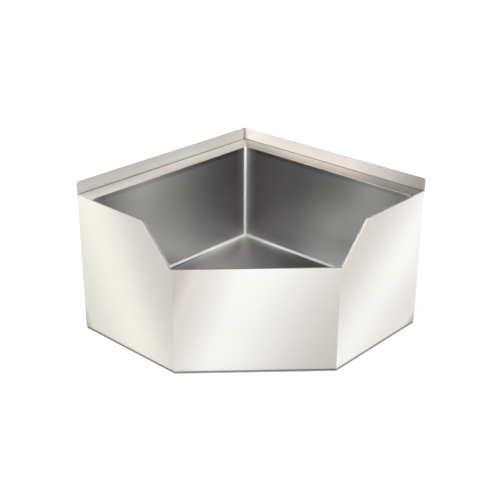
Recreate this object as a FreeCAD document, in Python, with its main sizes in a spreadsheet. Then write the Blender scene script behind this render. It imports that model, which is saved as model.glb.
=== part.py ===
import FreeCAD, Part
import Sketcher
import os
import re

# Corner mop sink with a drop front, in stainless sheet, millimetres.
# The sheet pieces are drawn in the corner frame: X runs along the left wall of the room, Y along the right
# wall, Z up, and the two walls and the floor meet at the origin. The finished sink stands in its own frame:
# front towards -Y, left and right alike about X = 0, and the origin on the floor, in the middle of its box.

SIZES = [
    ("wall_run", 711.2, "length of each rear side along its wall"),
    ("side_depth", 388.0, "depth of a side panel, from the wall to the front fold"),
    ("deck_height", 431.5, "height of the rear decks above the floor"),
    ("front_height", 320.0, "height of the front rim above the floor"),
    ("notch_run", 277.5, "level part of a side rim, from the wall to the start of the slope"),
    ("slope_stop", 5.0, "distance from the foot of the slope to the front fold"),
    ("notch_round", 8.0, "radius where the slope meets the level rims"),
    ("deck_depth", 59.0, "depth of the rear decks"),
    ("splash_height", 39.0, "height of the upstand above the deck"),
    ("splash_round", 7.0, "radius of the upstand's outer top corners"),
    ("splash_lap", 14.0, "lap of the upstand and the deck's rear flange below the deck"),
    ("sheet", 1.5, "thickness of the stainless sheet"),
    ("rim_width", 5.0, "width of the rolled rim, over both skins"),
    ("rim_bend", 2.2, "outside radius of the rim and floor bends"),
    ("rim_lip", 16.0, "depth of the rim's inner lip, down to the weld with the bowl"),
    ("corner_bend", 5.0, "outside radius of the two front folds"),
    ("base_return", 25.0, "width of the apron's returns along the floor and the wall"),
    ("base_round", 6.0, "radius of the side panels' lower rear corners"),
    ("bowl_floor_height", 112.0, "height of the bowl's floor above the room's floor"),
    ("cove_radius", 8.0, "inside radius of the bowl's coved corners"),
    ("cove_stand", 4.0, "straight stand of the floor pan's edge above its cove"),
    ("drain_setback", 355.6, "distance of the drain's centre from each wall"),
    ("floor_fall", 6.0, "fall of the dished floor round the drain"),
    ("dish_radius", 115.0, "outer radius of the dish"),
    ("dish_flat_radius", 61.0, "radius of the flat seat at the bottom of the dish"),
    ("drain_hole_radius", 46.0, "radius of the drain hole in the floor pan"),
    ("stiffener_offset", 180.0, "distance of a floor stiffener from the middle of the sink"),
    ("stiffener_start", 335.0, "distance of the stiffeners' rear ends from the room's corner"),
    ("stiffener_length", 390.0, "length of the stiffeners"),
    ("stiffener_height", 25.0, "height of the stiffeners' hat section"),
    ("stiffener_crown", 30.0, "width of the hat's crown"),
    ("stiffener_flange", 15.0, "width of each of the hat's flanges"),
    ("leg_width", 40.0, "width of the rear leg's angle"),
    ("leg_wall", 3.0, "wall of the rear leg's angle"),
    ("foot_width", 60.0, "side of the rear leg's foot plate"),
    ("foot_thick", 3.0, "thickness of the rear leg's foot plate"),
    ("rail_width", 25.0, "width of the base rails' angle"),
    ("rail_wall", 2.0, "wall of the base rails' angle"),
    ("drain_flange_radius", 57.0, "outer radius of the drain body's flange"),
    ("drain_flange_thick", 3.0, "thickness of the drain body's flange"),
    ("drain_seat_radius", 46.0, "radius of the basket's seat in the flange"),
    ("drain_seat_depth", 1.6, "depth of the basket's seat in the flange"),
    ("drain_wall", 2.5, "wall of the drain body's cup"),
    ("drain_play", 0.5, "gap between the drain body's cup and the rings round it"),
    ("cup_depth", 38.0, "depth of the drain body's cup below the floor pan"),
    ("neck_radius", 30.0, "outer radius of the drain body's neck"),
    ("neck_bore_radius", 25.5, "radius of the drain body's waterway"),
    ("neck_length", 26.0, "length of the drain body's neck"),
    ("ring_radius", 56.0, "outer radius of the gasket and the friction washer"),
    ("gasket_thick", 3.0, "thickness of the rubber gasket"),
    ("washer_thick", 1.0, "thickness of the friction washer"),
    ("locknut_radius", 53.0, "outer radius of the locknut's ring"),
    ("locknut_height", 9.0, "height of the locknut"),
    ("lug_reach", 4.0, "reach of the locknut's lugs beyond its ring"),
    ("lug_width", 14.0, "width of the locknut's lugs"),
    ("lug_count", 6, "number of lugs on the locknut"),
    ("coupling_flats", 72.0, "width of the coupling nut across its flats"),
    ("coupling_height", 24.0, "height of the coupling nut"),
    ("coupling_floor", 3.0, "thickness of the coupling nut's inward floor"),
    ("thread_play", 0.4, "gap between a thread and its nut"),
    ("tail_radius", 25.4, "outer radius of the tailpiece"),
    ("tail_wall", 1.5, "wall of the tailpiece"),
    ("tail_flange_thick", 2.0, "thickness of the tailpiece's flange"),
    ("tail_washer_thick", 2.0, "thickness of the washer above the tailpiece's flange"),
    ("tail_relief", 0.3, "relief of the tailpiece where the coupling nut holds it"),
    ("tail_clearance", 6.0, "height of the tailpiece's end above the floor"),
    ("basket_play", 0.4, "gap between the basket's rim and its seat"),
    ("basket_gap", 1.5, "gap between the basket and the drain body's cup"),
    ("basket_wall", 1.2, "wall of the strainer basket"),
    ("basket_depth", 27.0, "depth of the strainer basket below its rim"),
    ("basket_ledge", 4.0, "width of the ledge inside the basket's foot, which carries the plate"),
    ("plate_play", 0.3, "gap between the strainer plate and the basket"),
    ("plate_thick", 1.2, "thickness of the strainer plate"),
    ("perforation_radius", 2.6, "radius of the strainer plate's perforations"),
    ("perforation_pitch", 10.0, "distance between the rings of perforations"),
    ("ring_step", 6, "perforations added with each ring"),
    ("shank_radius", 3.0, "radius of the knob's riveted shank"),
    ("shank_play", 0.05, "gap between the shank and its hole"),
    ("rivet_radius", 5.0, "radius of the shank's riveted head"),
    ("rivet_thick", 1.2, "thickness of the riveted head"),
    ("knob_post_radius", 4.5, "radius of the knob's post"),
    ("knob_radius", 10.0, "radius of the knob's grip"),
    ("knob_height", 35.0, "height of the knob above the strainer plate"),
    ("knob_grip", 8.0, "height of the knob's grip"),
    ("knob_round", 2.6, "radius of the grip's upper edge"),
    ("spare", 40.0, "reach of the cutting forms past the sheet"),
    ("drop_margin", 24.0, "reach of the drop front's cut behind the middle of the front"),
    ("ray_reach", 1.25, "reach of the bowl walls' cutting forms, from the drain, past a corner"),
]

doc = FreeCAD.newDocument("corner_mop_sink")
sheet = doc.addObject("Spreadsheet::Sheet", "Sizes")
for row, (alias, size, meaning) in enumerate(SIZES, start=1):
    sheet.set(f"A{row}", meaning)
    sheet.set(f"B{row}", str(size))
    sheet.setAlias(f"B{row}", alias)
doc.recompute()

ALIASES = {alias for alias, _, _ in SIZES}
TOLERANCE = 1e-3
LEAST_SLANT = 0.3

# Formulas that several pieces share, in the sheet's own names.
FOLD = "(sqrt(2) - 1)"
DEPTH = "((wall_run + side_depth) / sqrt(2))"
SLOPE_FOOT = "(side_depth - slope_stop)"
HALF_SLOPE = f"tan(atan((deck_height - front_height) / ({SLOPE_FOOT} - notch_run)) / 2)"
PAN_EDGE = "(bowl_floor_height + cove_radius + cove_stand)"
SEAT = "(bowl_floor_height - floor_fall)"
CUP_RADIUS = "(drain_hole_radius - drain_play)"
CUP_BORE = f"({CUP_RADIUS} - drain_wall)"
CUP_FOOT = f"({SEAT} - cup_depth)"
NECK_FOOT = f"({CUP_FOOT} - neck_length)"
TAIL_TOP = f"({NECK_FOOT} - tail_washer_thick)"
COUPLING_FOOT = f"({TAIL_TOP} - tail_flange_thick - coupling_floor)"
BASKET_SEAT = f"({SEAT} + drain_flange_thick - drain_seat_depth)"
BASKET_RADIUS = f"({CUP_BORE} - basket_gap)"
BASKET_INNER = f"({BASKET_RADIUS} - basket_wall)"
BASKET_FLOOR = f"({BASKET_SEAT} - basket_depth)"
PLATE_FLOOR = f"({BASKET_FLOOR} + basket_wall)"
PLATE_TOP = f"({PLATE_FLOOR} + plate_thick)"

pieces = []


def in_sheet(formula):
    """Put the sheet's name before each of its aliases in a formula."""
    return re.sub(r"[a-z_]+", lambda word: "Sizes." + word[0] if word[0] in ALIASES else word[0], formula)


def value(formula):
    return float(sheet.evalExpression(in_sheet(formula)))


def bind(item, name, formula):
    item.setExpression(name, in_sheet(formula))


def near(first, second):
    return abs(first - second) < TOLERANCE


def origin_plane(owner, role):
    return next(item for item in owner.Origin.OriginFeatures if item.Role == role)


def attach(item, owner, role):
    item.AttachmentSupport = (origin_plane(owner, role), [""])
    item.MapMode = "FlatFace"


def outline(owner, role, points, offset="0"):
    """Sketch a closed outline whose corners are pairs of formulas, on a plane moved along its normal."""
    sketch = owner.newObject("Sketcher::SketchObject", "Outline")
    attach(sketch, owner, role)
    bind(sketch, "AttachmentOffset.Base.z", offset)
    corners = [FreeCAD.Vector(value(x), value(y), 0) for x, y in points]
    count = len(corners)
    for index, corner in enumerate(corners):
        sketch.addGeometry(Part.LineSegment(corner, corners[(index + 1) % count]), False)
    for index in range(count):
        sketch.addConstraint(Sketcher.Constraint("Coincident", index, 2, (index + 1) % count, 1))
    for index, (formulas, corner) in enumerate(zip(points, corners)):
        for kind, formula, start in zip(("DistanceX", "DistanceY"), formulas, corner):
            number = sketch.addConstraint(Sketcher.Constraint(kind, -1, 1, index, 1, start))
            bind(sketch, f"Constraints[{number}]", formula)
    return sketch


def pad(owner, sketch, length, turned=False):
    feature = owner.newObject("PartDesign::Pad", "Pad")
    feature.Profile = sketch
    feature.Reversed = turned
    bind(feature, "Length", length)
    return feature


def pocket(owner, sketch, length=None, turned=False):
    """Cut a pocket, right through where no depth is given, and make sure that it takes material away."""
    doc.recompute()
    before = owner.Shape.Volume
    feature = owner.newObject("PartDesign::Pocket", "Pocket")
    feature.Profile = sketch
    feature.Reversed = turned
    if length is None:
        feature.Type = "ThroughAll"
    else:
        bind(feature, "Length", length)
    doc.recompute()
    if not owner.Shape.Volume < before:
        raise RuntimeError(f"a pocket in {owner.Label} cuts nothing")
    return feature


def fillet(owner, radius, chosen):
    """Round the edges of a body that a test picks out."""
    doc.recompute()
    base = owner.Tip
    names = [f"Edge{number}" for number, edge in enumerate(base.Shape.Edges, start=1) if chosen(edge)]
    if not names:
        raise RuntimeError(f"no edge to round in {owner.Label}")
    feature = owner.newObject("PartDesign::Fillet", "Fillet")
    feature.Base = (base, names)
    bind(feature, "Radius", radius)
    doc.recompute()
    return feature


def ends(edge):
    return edge.Vertexes[0].Point, edge.Vertexes[-1].Point


def upright(edge):
    low, high = ends(edge)
    return near(low.x, high.x) and near(low.y, high.y) and not near(low.z, high.z)


def prism(name, points, low, high):
    """A plain upright form with the given plan, from one height to another."""
    owner = doc.addObject("PartDesign::Body", name)
    pad(owner, outline(owner, "XY_Plane", points, low), f"{high} - {low}")
    return owner


def revolved(name, points):
    """A turned piece from half of its section: distance from the axis, then height."""
    owner = doc.addObject("PartDesign::Body", name)
    sketch = outline(owner, "XZ_Plane", points)
    feature = owner.newObject("PartDesign::Revolution", "Revolution")
    feature.Profile = sketch
    feature.ReferenceAxis = (sketch, ["V_Axis"])
    feature.Angle = 360
    return owner


def ring(name, bore, radius, low, high):
    return revolved(name, [(bore, low), (radius, low), (radius, high), (bore, high)])


def join(kind, name, base, tool):
    """A boolean of two forms: Part::Cut, Part::Common or Part::Fuse."""
    result = doc.addObject(kind, name)
    result.Base = base
    result.Tool = tool
    result.Refine = True
    return result


def finish(item, label, angle, setback):
    """Name a piece and set it in the sink's own frame, turned, and moved from the middle to the back."""
    item.Label = label
    item.Placement = FreeCAD.Placement(FreeCAD.Vector(), FreeCAD.Rotation(FreeCAD.Vector(0, 0, 1), angle))
    bind(item, "Placement.Base.y", f"{DEPTH} / 2 - {setback}")
    pieces.append(item)
    return item


def finish_in_corner(item, label):
    return finish(item, label, 225, "0")


def finish_along_middle(item, label):
    return finish(item, label, 180, "0")


def finish_at_drain(item, label):
    return finish(item, label, 0, "drain_setback * sqrt(2)")


def mirrored(item, label):
    """The right-hand twin of a finished left-hand piece."""
    twin = doc.addObject("Part::Mirroring", label)
    twin.Source = item
    twin.Normal = FreeCAD.Vector(1, 0, 0)
    twin.Label = label
    pieces.append(twin)
    return twin


# Master forms of the sheet metal

def apron_plan(inset):
    """Plan of the sink's outside, moved inwards, and run on past the two walls."""
    far = f"(wall_run - {inset})"
    fold = f"(side_depth - {inset} * {FOLD})"
    return [("-spare", "-spare"), (far, "-spare"), (far, fold), (fold, far), ("-spare", far)]


def bowl_plan(growth):
    """Plan of the bowl's inside, moved outwards."""
    near_side = f"(deck_depth - {growth})"
    far = f"(wall_run - rim_width + {growth})"
    fold = f"(side_depth - (rim_width - {growth}) * {FOLD})"
    return [(near_side, near_side), (far, near_side), (far, fold), (fold, far), (near_side, far)]


def dropped_block(name, plan, low, inset):
    """A block with the sink's level, sloped and level top line, moved down by an inset."""
    owner = prism(name, plan, low, f"(deck_height - {inset})")
    top = "(deck_height + spare)"
    far = "(wall_run + spare)"
    shift = f"{inset} * {HALF_SLOPE}"
    crest = (f"(notch_run - {shift})", f"(deck_height - {inset})")
    foot = (f"({SLOPE_FOOT} - {shift})", f"(front_height - {inset})")
    above = [crest, foot, (far, foot[1]), (far, top), (crest[0], top)]
    start = "((wall_run + side_depth) / 2 - drop_margin)"
    pocket(owner, outline(owner, "YZ_Plane", above, start), turned=True)
    pocket(owner, outline(owner, "XZ_Plane", above, f"-{start}"))
    return owner, crest, foot


def crease(corner):
    """A test for the two edges that cross the rims at a corner of the top line."""
    along, height = value(corner[0]), value(corner[1])

    def chosen(edge):
        first, last = ends(edge)
        level = near(first.z, height) and near(last.z, height)
        left = near(first.y, along) and near(last.y, along)
        right = near(first.x, along) and near(last.x, along)
        return level and (left or right)

    return chosen


def rim_or_floor_edge(owner, low):
    """A test for the edges where a skin turns over the rim, or the outside turns in at the floor."""
    floor_level = value(low)
    rim_level = value("front_height - rim_lip")
    rear = value("-spare")

    def chosen(edge):
        middle = edge.valueAt((edge.FirstParameter + edge.LastParameter) / 2)
        if near(middle.x, rear) or near(middle.y, rear):
            return False
        if not (near(middle.z, floor_level) or middle.z > rim_level):
            return False
        slants = []
        for face in owner.Tip.Shape.ancestorsOfType(edge, Part.Face):
            u_low, u_high, v_low, v_high = face.ParameterRange
            slants.append(abs(face.normalAt((u_low + u_high) / 2, (v_low + v_high) / 2).z))
        return min(slants) < TOLERANCE and max(slants) > LEAST_SLANT

    return chosen


def sink_block(name, inset):
    """The sink as a solid block with its bowl sunk in, all faces moved into the block by an inset."""
    owner, crest, foot = dropped_block(name, apron_plan(inset), inset, inset)
    front = value(f"wall_run + side_depth - {inset} * sqrt(2)")
    fillet(owner, f"corner_bend - {inset}",
           lambda edge: upright(edge) and near(sum(ends(edge)[0][:2]), front))
    fillet(owner, f"notch_round - {inset}", crease(crest))
    fillet(owner, f"notch_round + {inset}", crease(foot))

    floor_level = f"(bowl_floor_height - {inset})"
    top = "(deck_height + spare)"
    pocket(owner, outline(owner, "XY_Plane", bowl_plan(inset), top), f"{top} - {floor_level}")
    level = value(floor_level)
    fillet(owner, f"cove_radius + {inset}", lambda edge: any(near(end.z, level) for end in ends(edge)))

    dish = owner.newObject("PartDesign::SubtractiveCone", "Dish")
    attach(dish, owner, "XY_Plane")
    bind(dish, "Radius1", "dish_flat_radius")
    bind(dish, "Radius2", "dish_radius")
    bind(dish, "Height", "floor_fall")
    bind(dish, "AttachmentOffset.Base.x", "drain_setback")
    bind(dish, "AttachmentOffset.Base.y", "drain_setback")
    bind(dish, "AttachmentOffset.Base.z", f"{floor_level} - floor_fall")
    doc.recompute()

    fillet(owner, f"rim_bend - {inset}", rim_or_floor_edge(owner, inset))
    return owner


skin = join("Part::Cut", "skin", sink_block("outer_block", "0"), sink_block("inner_block", "sheet"))
lip_plan = bowl_plan("rim_width / 2")
bowl_zone, _, _ = dropped_block("bowl_zone", lip_plan, "(bowl_floor_height / 2)", "rim_lip")
bowl_skin = join("Part::Common", "bowl_skin", skin, bowl_zone)
floor_opening = prism("floor_opening", apron_plan("base_return"), "-spare", "(2 * sheet)")
outer_skin = join("Part::Cut", "outer_skin", join("Part::Cut", "open_skin", skin, floor_opening), bowl_zone)


# Rear decks, and the upstands that are lapped and welded behind them

DECK_START = "(sheet + 2 * rim_bend)"
DECK_END = "(wall_run - rim_width / 2)"
DECK_REACH = "(deck_depth + cove_radius + cove_stand)"


def along_left_wall(name, section, length):
    """A strip along the left wall with a section across it, mitred where it meets its right-hand twin."""
    owner = doc.addObject("PartDesign::Body", name)
    pad(owner, outline(owner, "YZ_Plane", section), length)
    beyond = "(deck_depth + spare)"
    mitre = [("-spare", "-spare"), (beyond, beyond), ("-spare", beyond)]
    pocket(owner, outline(owner, "XY_Plane", mitre, "(deck_height + splash_height + spare)"))
    return owner


def along_edge(across, height):
    """A test for the edges that run along the left wall at a distance from it and a height."""
    across, height = value(across), value(height)
    return lambda edge: all(near(end.y, across) and near(end.z, height) for end in ends(edge))


def rear_flange():
    """The deck's rear strip, bent down in front of the upstand."""
    low, under, back = "(deck_height - splash_lap)", "(deck_height - sheet)", "sheet"
    owner = along_left_wall("rear_flange", [
        (back, low), ("(2 * sheet)", low), ("(2 * sheet)", under), (DECK_START, under),
        (DECK_START, "deck_height"), (back, "deck_height")], DECK_END)
    fillet(owner, "rim_bend", along_edge(back, "deck_height"))
    fillet(owner, "rim_bend - sheet", along_edge("2 * sheet", under))
    return owner


def deck():
    """The level deck, with its bend into the bowl in front and its flange at the rear."""
    plan = [
        (DECK_START, DECK_START), (DECK_END, DECK_START), (DECK_END, DECK_REACH), (DECK_REACH, DECK_REACH)]
    zone = prism("deck_zone", plan, "(deck_height - rim_lip)", "(deck_height + spare)")
    return join("Part::Fuse", "deck", join("Part::Common", "deck_plate", outer_skin, zone), rear_flange())


def splash():
    """The upstand: its top corner is rounded, and its lap stops short of the side panel."""
    top = "(deck_height + splash_height)"
    owner = along_left_wall("upstand", [
        ("0", "deck_height"), ("sheet", "deck_height"), ("sheet", top), ("0", top)], "wall_run")
    outer, height = value("wall_run"), value(top)
    fillet(owner, "splash_round",
           lambda edge: all(near(end.x, outer) and near(end.z, height) for end in ends(edge)))
    lap = along_left_wall("upstand_lap", [
        ("0", "(deck_height - splash_lap)"), ("sheet", "(deck_height - splash_lap)"),
        ("sheet", "deck_height"), ("0", "deck_height")], "(wall_run - rim_width)")
    return join("Part::Fuse", "upstand_with_lap", owner, lap)


left_deck = finish_in_corner(deck(), "left_deck")
mirrored(left_deck, "right_deck")
left_splash = finish_in_corner(splash(), "left_splash")
mirrored(left_splash, "right_splash")


# Aprons

APRON_BAND = "(base_return + rim_width)"
BAND_FOLD = f"(side_depth - {APRON_BAND} * {FOLD})"
SPARE_FOLD = f"(side_depth + spare * {FOLD})"


def deck_end_zone():
    """What a side panel leaves to the deck beside it."""
    plan = [("0", "0"), (DECK_END, "0"), (DECK_END, DECK_REACH), ("0", DECK_REACH)]
    return prism("deck_end_zone", plan, "(deck_height - rim_lip)", "(deck_height + spare)")


def side_apron():
    band = f"(wall_run - {APRON_BAND})"
    beyond = "(wall_run + spare)"
    zone = prism("side_zone", [(band, "0"), (beyond, "0"), (beyond, SPARE_FOLD), (band, BAND_FOLD)],
                 "0", "(deck_height + spare)")
    fillet(zone, "base_round", along_edge("0", "0"))
    apron_skin = join("Part::Cut", "apron_skin", outer_skin, deck_end_zone())
    panel = join("Part::Common", "side_panel", apron_skin, zone)

    flange = doc.addObject("PartDesign::Body", "wall_return")
    inner, outer = "(wall_run - base_return)", "(wall_run - sheet)"
    low, high = "base_round", "(deck_height - rim_lip)"
    pad(flange, outline(flange, "XZ_Plane", [(inner, low), (outer, low), (outer, high), (inner, high)]),
        "sheet", turned=True)
    return join("Part::Fuse", "side_panel_with_return", panel, flange)


def front_apron():
    band = f"(wall_run - {APRON_BAND})"
    beyond = "(wall_run + spare)"
    plan = [(beyond, SPARE_FOLD), (SPARE_FOLD, beyond), (BAND_FOLD, band), (band, BAND_FOLD)]
    zone = prism("front_zone", plan, "-spare", "(deck_height + spare)")
    return join("Part::Common", "front_panel", outer_skin, zone)


left_side_apron = finish_in_corner(side_apron(), "left_side_apron")
mirrored(left_side_apron, "right_side_apron")
finish_in_corner(front_apron(), "front_apron")


# Bowl

def bowl_wall(name, first, second):
    """One wall of the bowl, above the floor pan, between the rays from the drain to two of its corners."""
    corners = [("drain_setback", "drain_setback")]
    for corner in (first, second):
        corners.append(tuple(f"drain_setback + ray_reach * ({along} - drain_setback)" for along in corner))
    zone = prism(name + "_zone", corners, PAN_EDGE, "(deck_height + spare)")
    return join("Part::Common", name, bowl_skin, zone)


back, left_rear, left_front, right_front, right_rear = bowl_plan("0")
left_rear_wall = finish_in_corner(bowl_wall("rear_wall", back, left_rear), "left_rear_bowl_wall")
mirrored(left_rear_wall, "right_rear_bowl_wall")
left_side_wall = finish_in_corner(bowl_wall("side_wall", left_rear, left_front), "left_side_bowl_wall")
mirrored(left_side_wall, "right_side_bowl_wall")
finish_in_corner(bowl_wall("front_wall", left_front, right_front), "front_bowl_wall")


def floor_pan():
    low = "(bowl_floor_height / 2)"
    pan = join("Part::Common", "pan", bowl_skin, prism("pan_zone", apron_plan("0"), low, PAN_EDGE))
    hole = doc.addObject("Part::Cylinder", "drain_hole")
    bind(hole, "Radius", "drain_hole_radius")
    bind(hole, "Height", PAN_EDGE)
    bind(hole, "Placement.Base.x", "drain_setback")
    bind(hole, "Placement.Base.y", "drain_setback")
    return join("Part::Cut", "pan_with_hole", pan, hole)


finish_in_corner(floor_pan(), "bowl_floor_pan")


# Supports under the bowl and behind it

def floor_stiffener():
    """A hat section under the floor pan: two flanges against the pan and a crown below."""
    owner = doc.addObject("PartDesign::Body", "stiffener")
    high = "(bowl_floor_height - sheet)"
    low = f"({high} - stiffener_height)"
    half = "stiffener_crown / 2"
    right = [
        (f"stiffener_offset + {half} + stiffener_flange", high),
        (f"stiffener_offset + {half} - sheet", high),
        (f"stiffener_offset + {half} - sheet", f"{low} + sheet"),
    ]
    right_outer = [
        (f"stiffener_offset + {half}", low),
        (f"stiffener_offset + {half}", f"{high} - sheet"),
        (f"stiffener_offset + {half} + stiffener_flange", f"{high} - sheet"),
    ]

    def across(points):
        return [(f"2 * stiffener_offset - ({x})", y) for x, y in reversed(points)]

    section = right + across(right) + across(right_outer) + right_outer
    pad(owner, outline(owner, "XZ_Plane", section, "-stiffener_start"), "stiffener_length", turned=True)
    return owner


left_floor_stiffener = finish_along_middle(floor_stiffener(), "left_floor_stiffener")
mirrored(left_floor_stiffener, "right_floor_stiffener")


def angle_plan(width, wall, start="0"):
    """Section of an angle whose two legs start at the same distance from the axes."""
    inner, outer = f"({start} + {wall})", f"({start} + {width})"
    return [(start, start), (outer, start), (outer, inner), (inner, inner), (inner, outer), (start, outer)]


leg_plan = angle_plan("leg_width", "leg_wall", "(sheet + rim_bend)")
finish_in_corner(prism("leg", leg_plan, "foot_thick", "(deck_height - sheet)"), "rear_corner_leg")
foot_plan = [("0", "0"), ("foot_width", "0"), ("foot_width", "foot_width"), ("0", "foot_width")]
finish_in_corner(prism("foot", foot_plan, "0", "foot_thick"), "rear_leg_foot")


def base_rail():
    """An angle on the floor, along the wall, from the foot plate to the side panel's return."""
    owner = doc.addObject("PartDesign::Body", "rail")
    section = outline(owner, "YZ_Plane", angle_plan("rail_width", "rail_wall"), "foot_width")
    pad(owner, section, "wall_run - base_return - foot_width")
    return owner


left_base_rail = finish_in_corner(base_rail(), "left_base_rail")
mirrored(left_base_rail, "right_base_rail")


# Drain

def drain_body():
    """A flanged cup that hangs in the floor pan's hole, with a threaded neck below."""
    flange_top = f"({SEAT} + drain_flange_thick)"
    cup_floor = f"({CUP_FOOT} + drain_wall)"
    return revolved("drain_cup", [
        ("neck_bore_radius", NECK_FOOT), ("neck_radius", NECK_FOOT), ("neck_radius", CUP_FOOT),
        (CUP_RADIUS, CUP_FOOT), (CUP_RADIUS, SEAT), ("drain_flange_radius", SEAT),
        ("drain_flange_radius", flange_top), ("drain_seat_radius", flange_top),
        ("drain_seat_radius", BASKET_SEAT), (CUP_BORE, BASKET_SEAT), (CUP_BORE, cup_floor),
        ("neck_bore_radius", cup_floor)])


PAN_UNDERSIDE = f"({SEAT} - sheet)"
GASKET_FOOT = f"({PAN_UNDERSIDE} - gasket_thick)"
WASHER_FOOT = f"({GASKET_FOOT} - washer_thick)"
LOCKNUT_FOOT = f"({WASHER_FOOT} - locknut_height)"
finish_at_drain(drain_body(), "drain_body")
finish_at_drain(
    ring("gasket", "drain_hole_radius", "ring_radius", GASKET_FOOT, PAN_UNDERSIDE), "drain_gasket")
finish_at_drain(
    ring("washer", "drain_hole_radius", "ring_radius", WASHER_FOOT, GASKET_FOOT), "friction_washer")


def polar_pattern(owner, feature, count):
    pattern = owner.newObject("PartDesign::PolarPattern", "Pattern")
    pattern.Originals = [feature]
    pattern.Axis = (feature.Profile[0], ["N_Axis"])
    pattern.Angle = 360
    bind(pattern, "Occurrences", count)
    owner.Tip = pattern
    doc.recompute()
    return pattern


def locknut():
    """A ring nut with lugs for a spanner."""
    owner = ring("lock_ring", "drain_hole_radius", "locknut_radius", LOCKNUT_FOOT, WASHER_FOOT)
    doc.recompute()
    inner, outer = "(locknut_radius - lug_reach)", "(locknut_radius + lug_reach)"
    half = "lug_width / 2"
    plan = [(inner, f"-{half}"), (outer, f"-{half}"), (outer, half), (inner, half)]
    lug = pad(owner, outline(owner, "XY_Plane", plan, LOCKNUT_FOOT), "locknut_height")
    polar_pattern(owner, lug, "lug_count")
    return owner


finish_at_drain(locknut(), "drain_locknut")


def coupling_nut():
    """A hexagon nut whose inward floor holds the tailpiece's flange up against the neck."""
    owner = doc.addObject("PartDesign::Body", "coupling")
    flat = "coupling_flats / 2"
    half_side = f"({flat} * tan(30 deg))"
    point = f"(2 * {half_side})"
    hexagon = [(point, "0"), (half_side, flat), (f"-{half_side}", flat), (f"-{point}", "0"),
               (f"-{half_side}", f"-({flat})"), (half_side, f"-({flat})")]
    pad(owner, outline(owner, "XY_Plane", hexagon, COUPLING_FOOT), "coupling_height")
    doc.recompute()
    floor_top = f"({COUPLING_FOOT} + coupling_floor)"
    top = f"({COUPLING_FOOT} + coupling_height)"
    throat = "(tail_radius + thread_play)"
    thread = "(neck_radius + thread_play)"
    before = owner.Shape.Volume
    sketch = outline(owner, "XZ_Plane", [("0", COUPLING_FOOT), (throat, COUPLING_FOOT), (throat, floor_top),
                                         (thread, floor_top), (thread, top), ("0", top)])
    groove = owner.newObject("PartDesign::Groove", "Bore")
    groove.Profile = sketch
    groove.ReferenceAxis = (sketch, ["V_Axis"])
    groove.Angle = 360
    doc.recompute()
    if not owner.Shape.Volume < before:
        raise RuntimeError("the coupling nut has no bore")
    return owner


def tailpiece():
    bore = "(tail_radius - tail_wall)"
    held = "(tail_radius - tail_relief)"
    flange_foot = f"({TAIL_TOP} - tail_flange_thick)"
    free_top = f"({COUPLING_FOOT} - tail_flange_thick)"
    return revolved("tail", [
        (bore, "tail_clearance"), ("tail_radius", "tail_clearance"), ("tail_radius", free_top),
        (held, free_top), (held, flange_foot),
        ("neck_radius", flange_foot), ("neck_radius", TAIL_TOP), (bore, TAIL_TOP)])


finish_at_drain(coupling_nut(), "coupling_nut")
finish_at_drain(tailpiece(), "tailpiece")
finish_at_drain(
    ring("tail_ring", "neck_bore_radius", "neck_radius", TAIL_TOP, NECK_FOOT), "tailpiece_washer")


# Strainer basket, which lifts out

def strainer_basket():
    """A drawn cup with a flat rim, and a ledge round its open foot."""
    rim = "(drain_seat_radius - basket_play)"
    rim_top = f"({BASKET_SEAT} + basket_wall)"
    ledge = f"({BASKET_INNER} - basket_ledge)"
    return revolved("basket", [
        (ledge, BASKET_FLOOR), (BASKET_RADIUS, BASKET_FLOOR), (BASKET_RADIUS, BASKET_SEAT),
        (rim, BASKET_SEAT), (rim, rim_top), (BASKET_INNER, rim_top), (BASKET_INNER, PLATE_FLOOR),
        (ledge, PLATE_FLOOR)])


def strainer_plate():
    """A disc on the basket's ledge, with a hole for the knob's shank and rings of perforations."""
    radius = f"({BASKET_INNER} - plate_play)"
    owner = ring("plate", "(shank_radius + shank_play)", radius, PLATE_FLOOR, PLATE_TOP)
    doc.recompute()
    first = "(rivet_radius + perforation_pitch / 2)"
    last = f"({BASKET_INNER} - basket_ledge - perforation_radius)"
    rings = 1 + int(value(f"({last} - {first}) / perforation_pitch"))
    for number in range(rings):
        sketch = owner.newObject("Sketcher::SketchObject", "Perforation")
        attach(sketch, owner, "XY_Plane")
        bind(sketch, "AttachmentOffset.Base.z", PLATE_TOP)
        distance = f"{first} + {number} * perforation_pitch"
        centre = FreeCAD.Vector(value(distance), 0, 0)
        sketch.addGeometry(Part.Circle(centre, FreeCAD.Vector(0, 0, 1), value("perforation_radius")), False)
        size = sketch.addConstraint(Sketcher.Constraint("Radius", 0, value("perforation_radius")))
        bind(sketch, f"Constraints[{size}]", "perforation_radius")
        along = sketch.addConstraint(Sketcher.Constraint("DistanceX", -1, 1, 0, 3, centre.x))
        bind(sketch, f"Constraints[{along}]", distance)
        sketch.addConstraint(Sketcher.Constraint("PointOnObject", 0, 3, -1))
        polar_pattern(owner, pocket(owner, sketch), f"{number + 1} * ring_step")
    return owner


def basket_knob():
    """A turned knob on a post, riveted through the strainer plate."""
    rivet_foot = f"({PLATE_FLOOR} - rivet_thick)"
    top = f"({PLATE_TOP} + knob_height)"
    grip_foot = f"({top} - knob_grip)"
    owner = revolved("knob", [
        ("0", rivet_foot), ("rivet_radius", rivet_foot), ("rivet_radius", PLATE_FLOOR),
        ("shank_radius", PLATE_FLOOR), ("shank_radius", PLATE_TOP), ("knob_post_radius", PLATE_TOP),
        ("knob_post_radius", grip_foot), ("knob_radius", grip_foot),
        ("knob_radius", top), ("0", top)])
    height = value(top)
    fillet(owner, "knob_round",
           lambda edge: near(edge.BoundBox.ZMin, height) and near(edge.BoundBox.ZMax, height))
    return owner


finish_at_drain(strainer_basket(), "strainer_basket")
finish_at_drain(strainer_plate(), "strainer_plate")
finish_at_drain(basket_knob(), "basket_knob")


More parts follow.
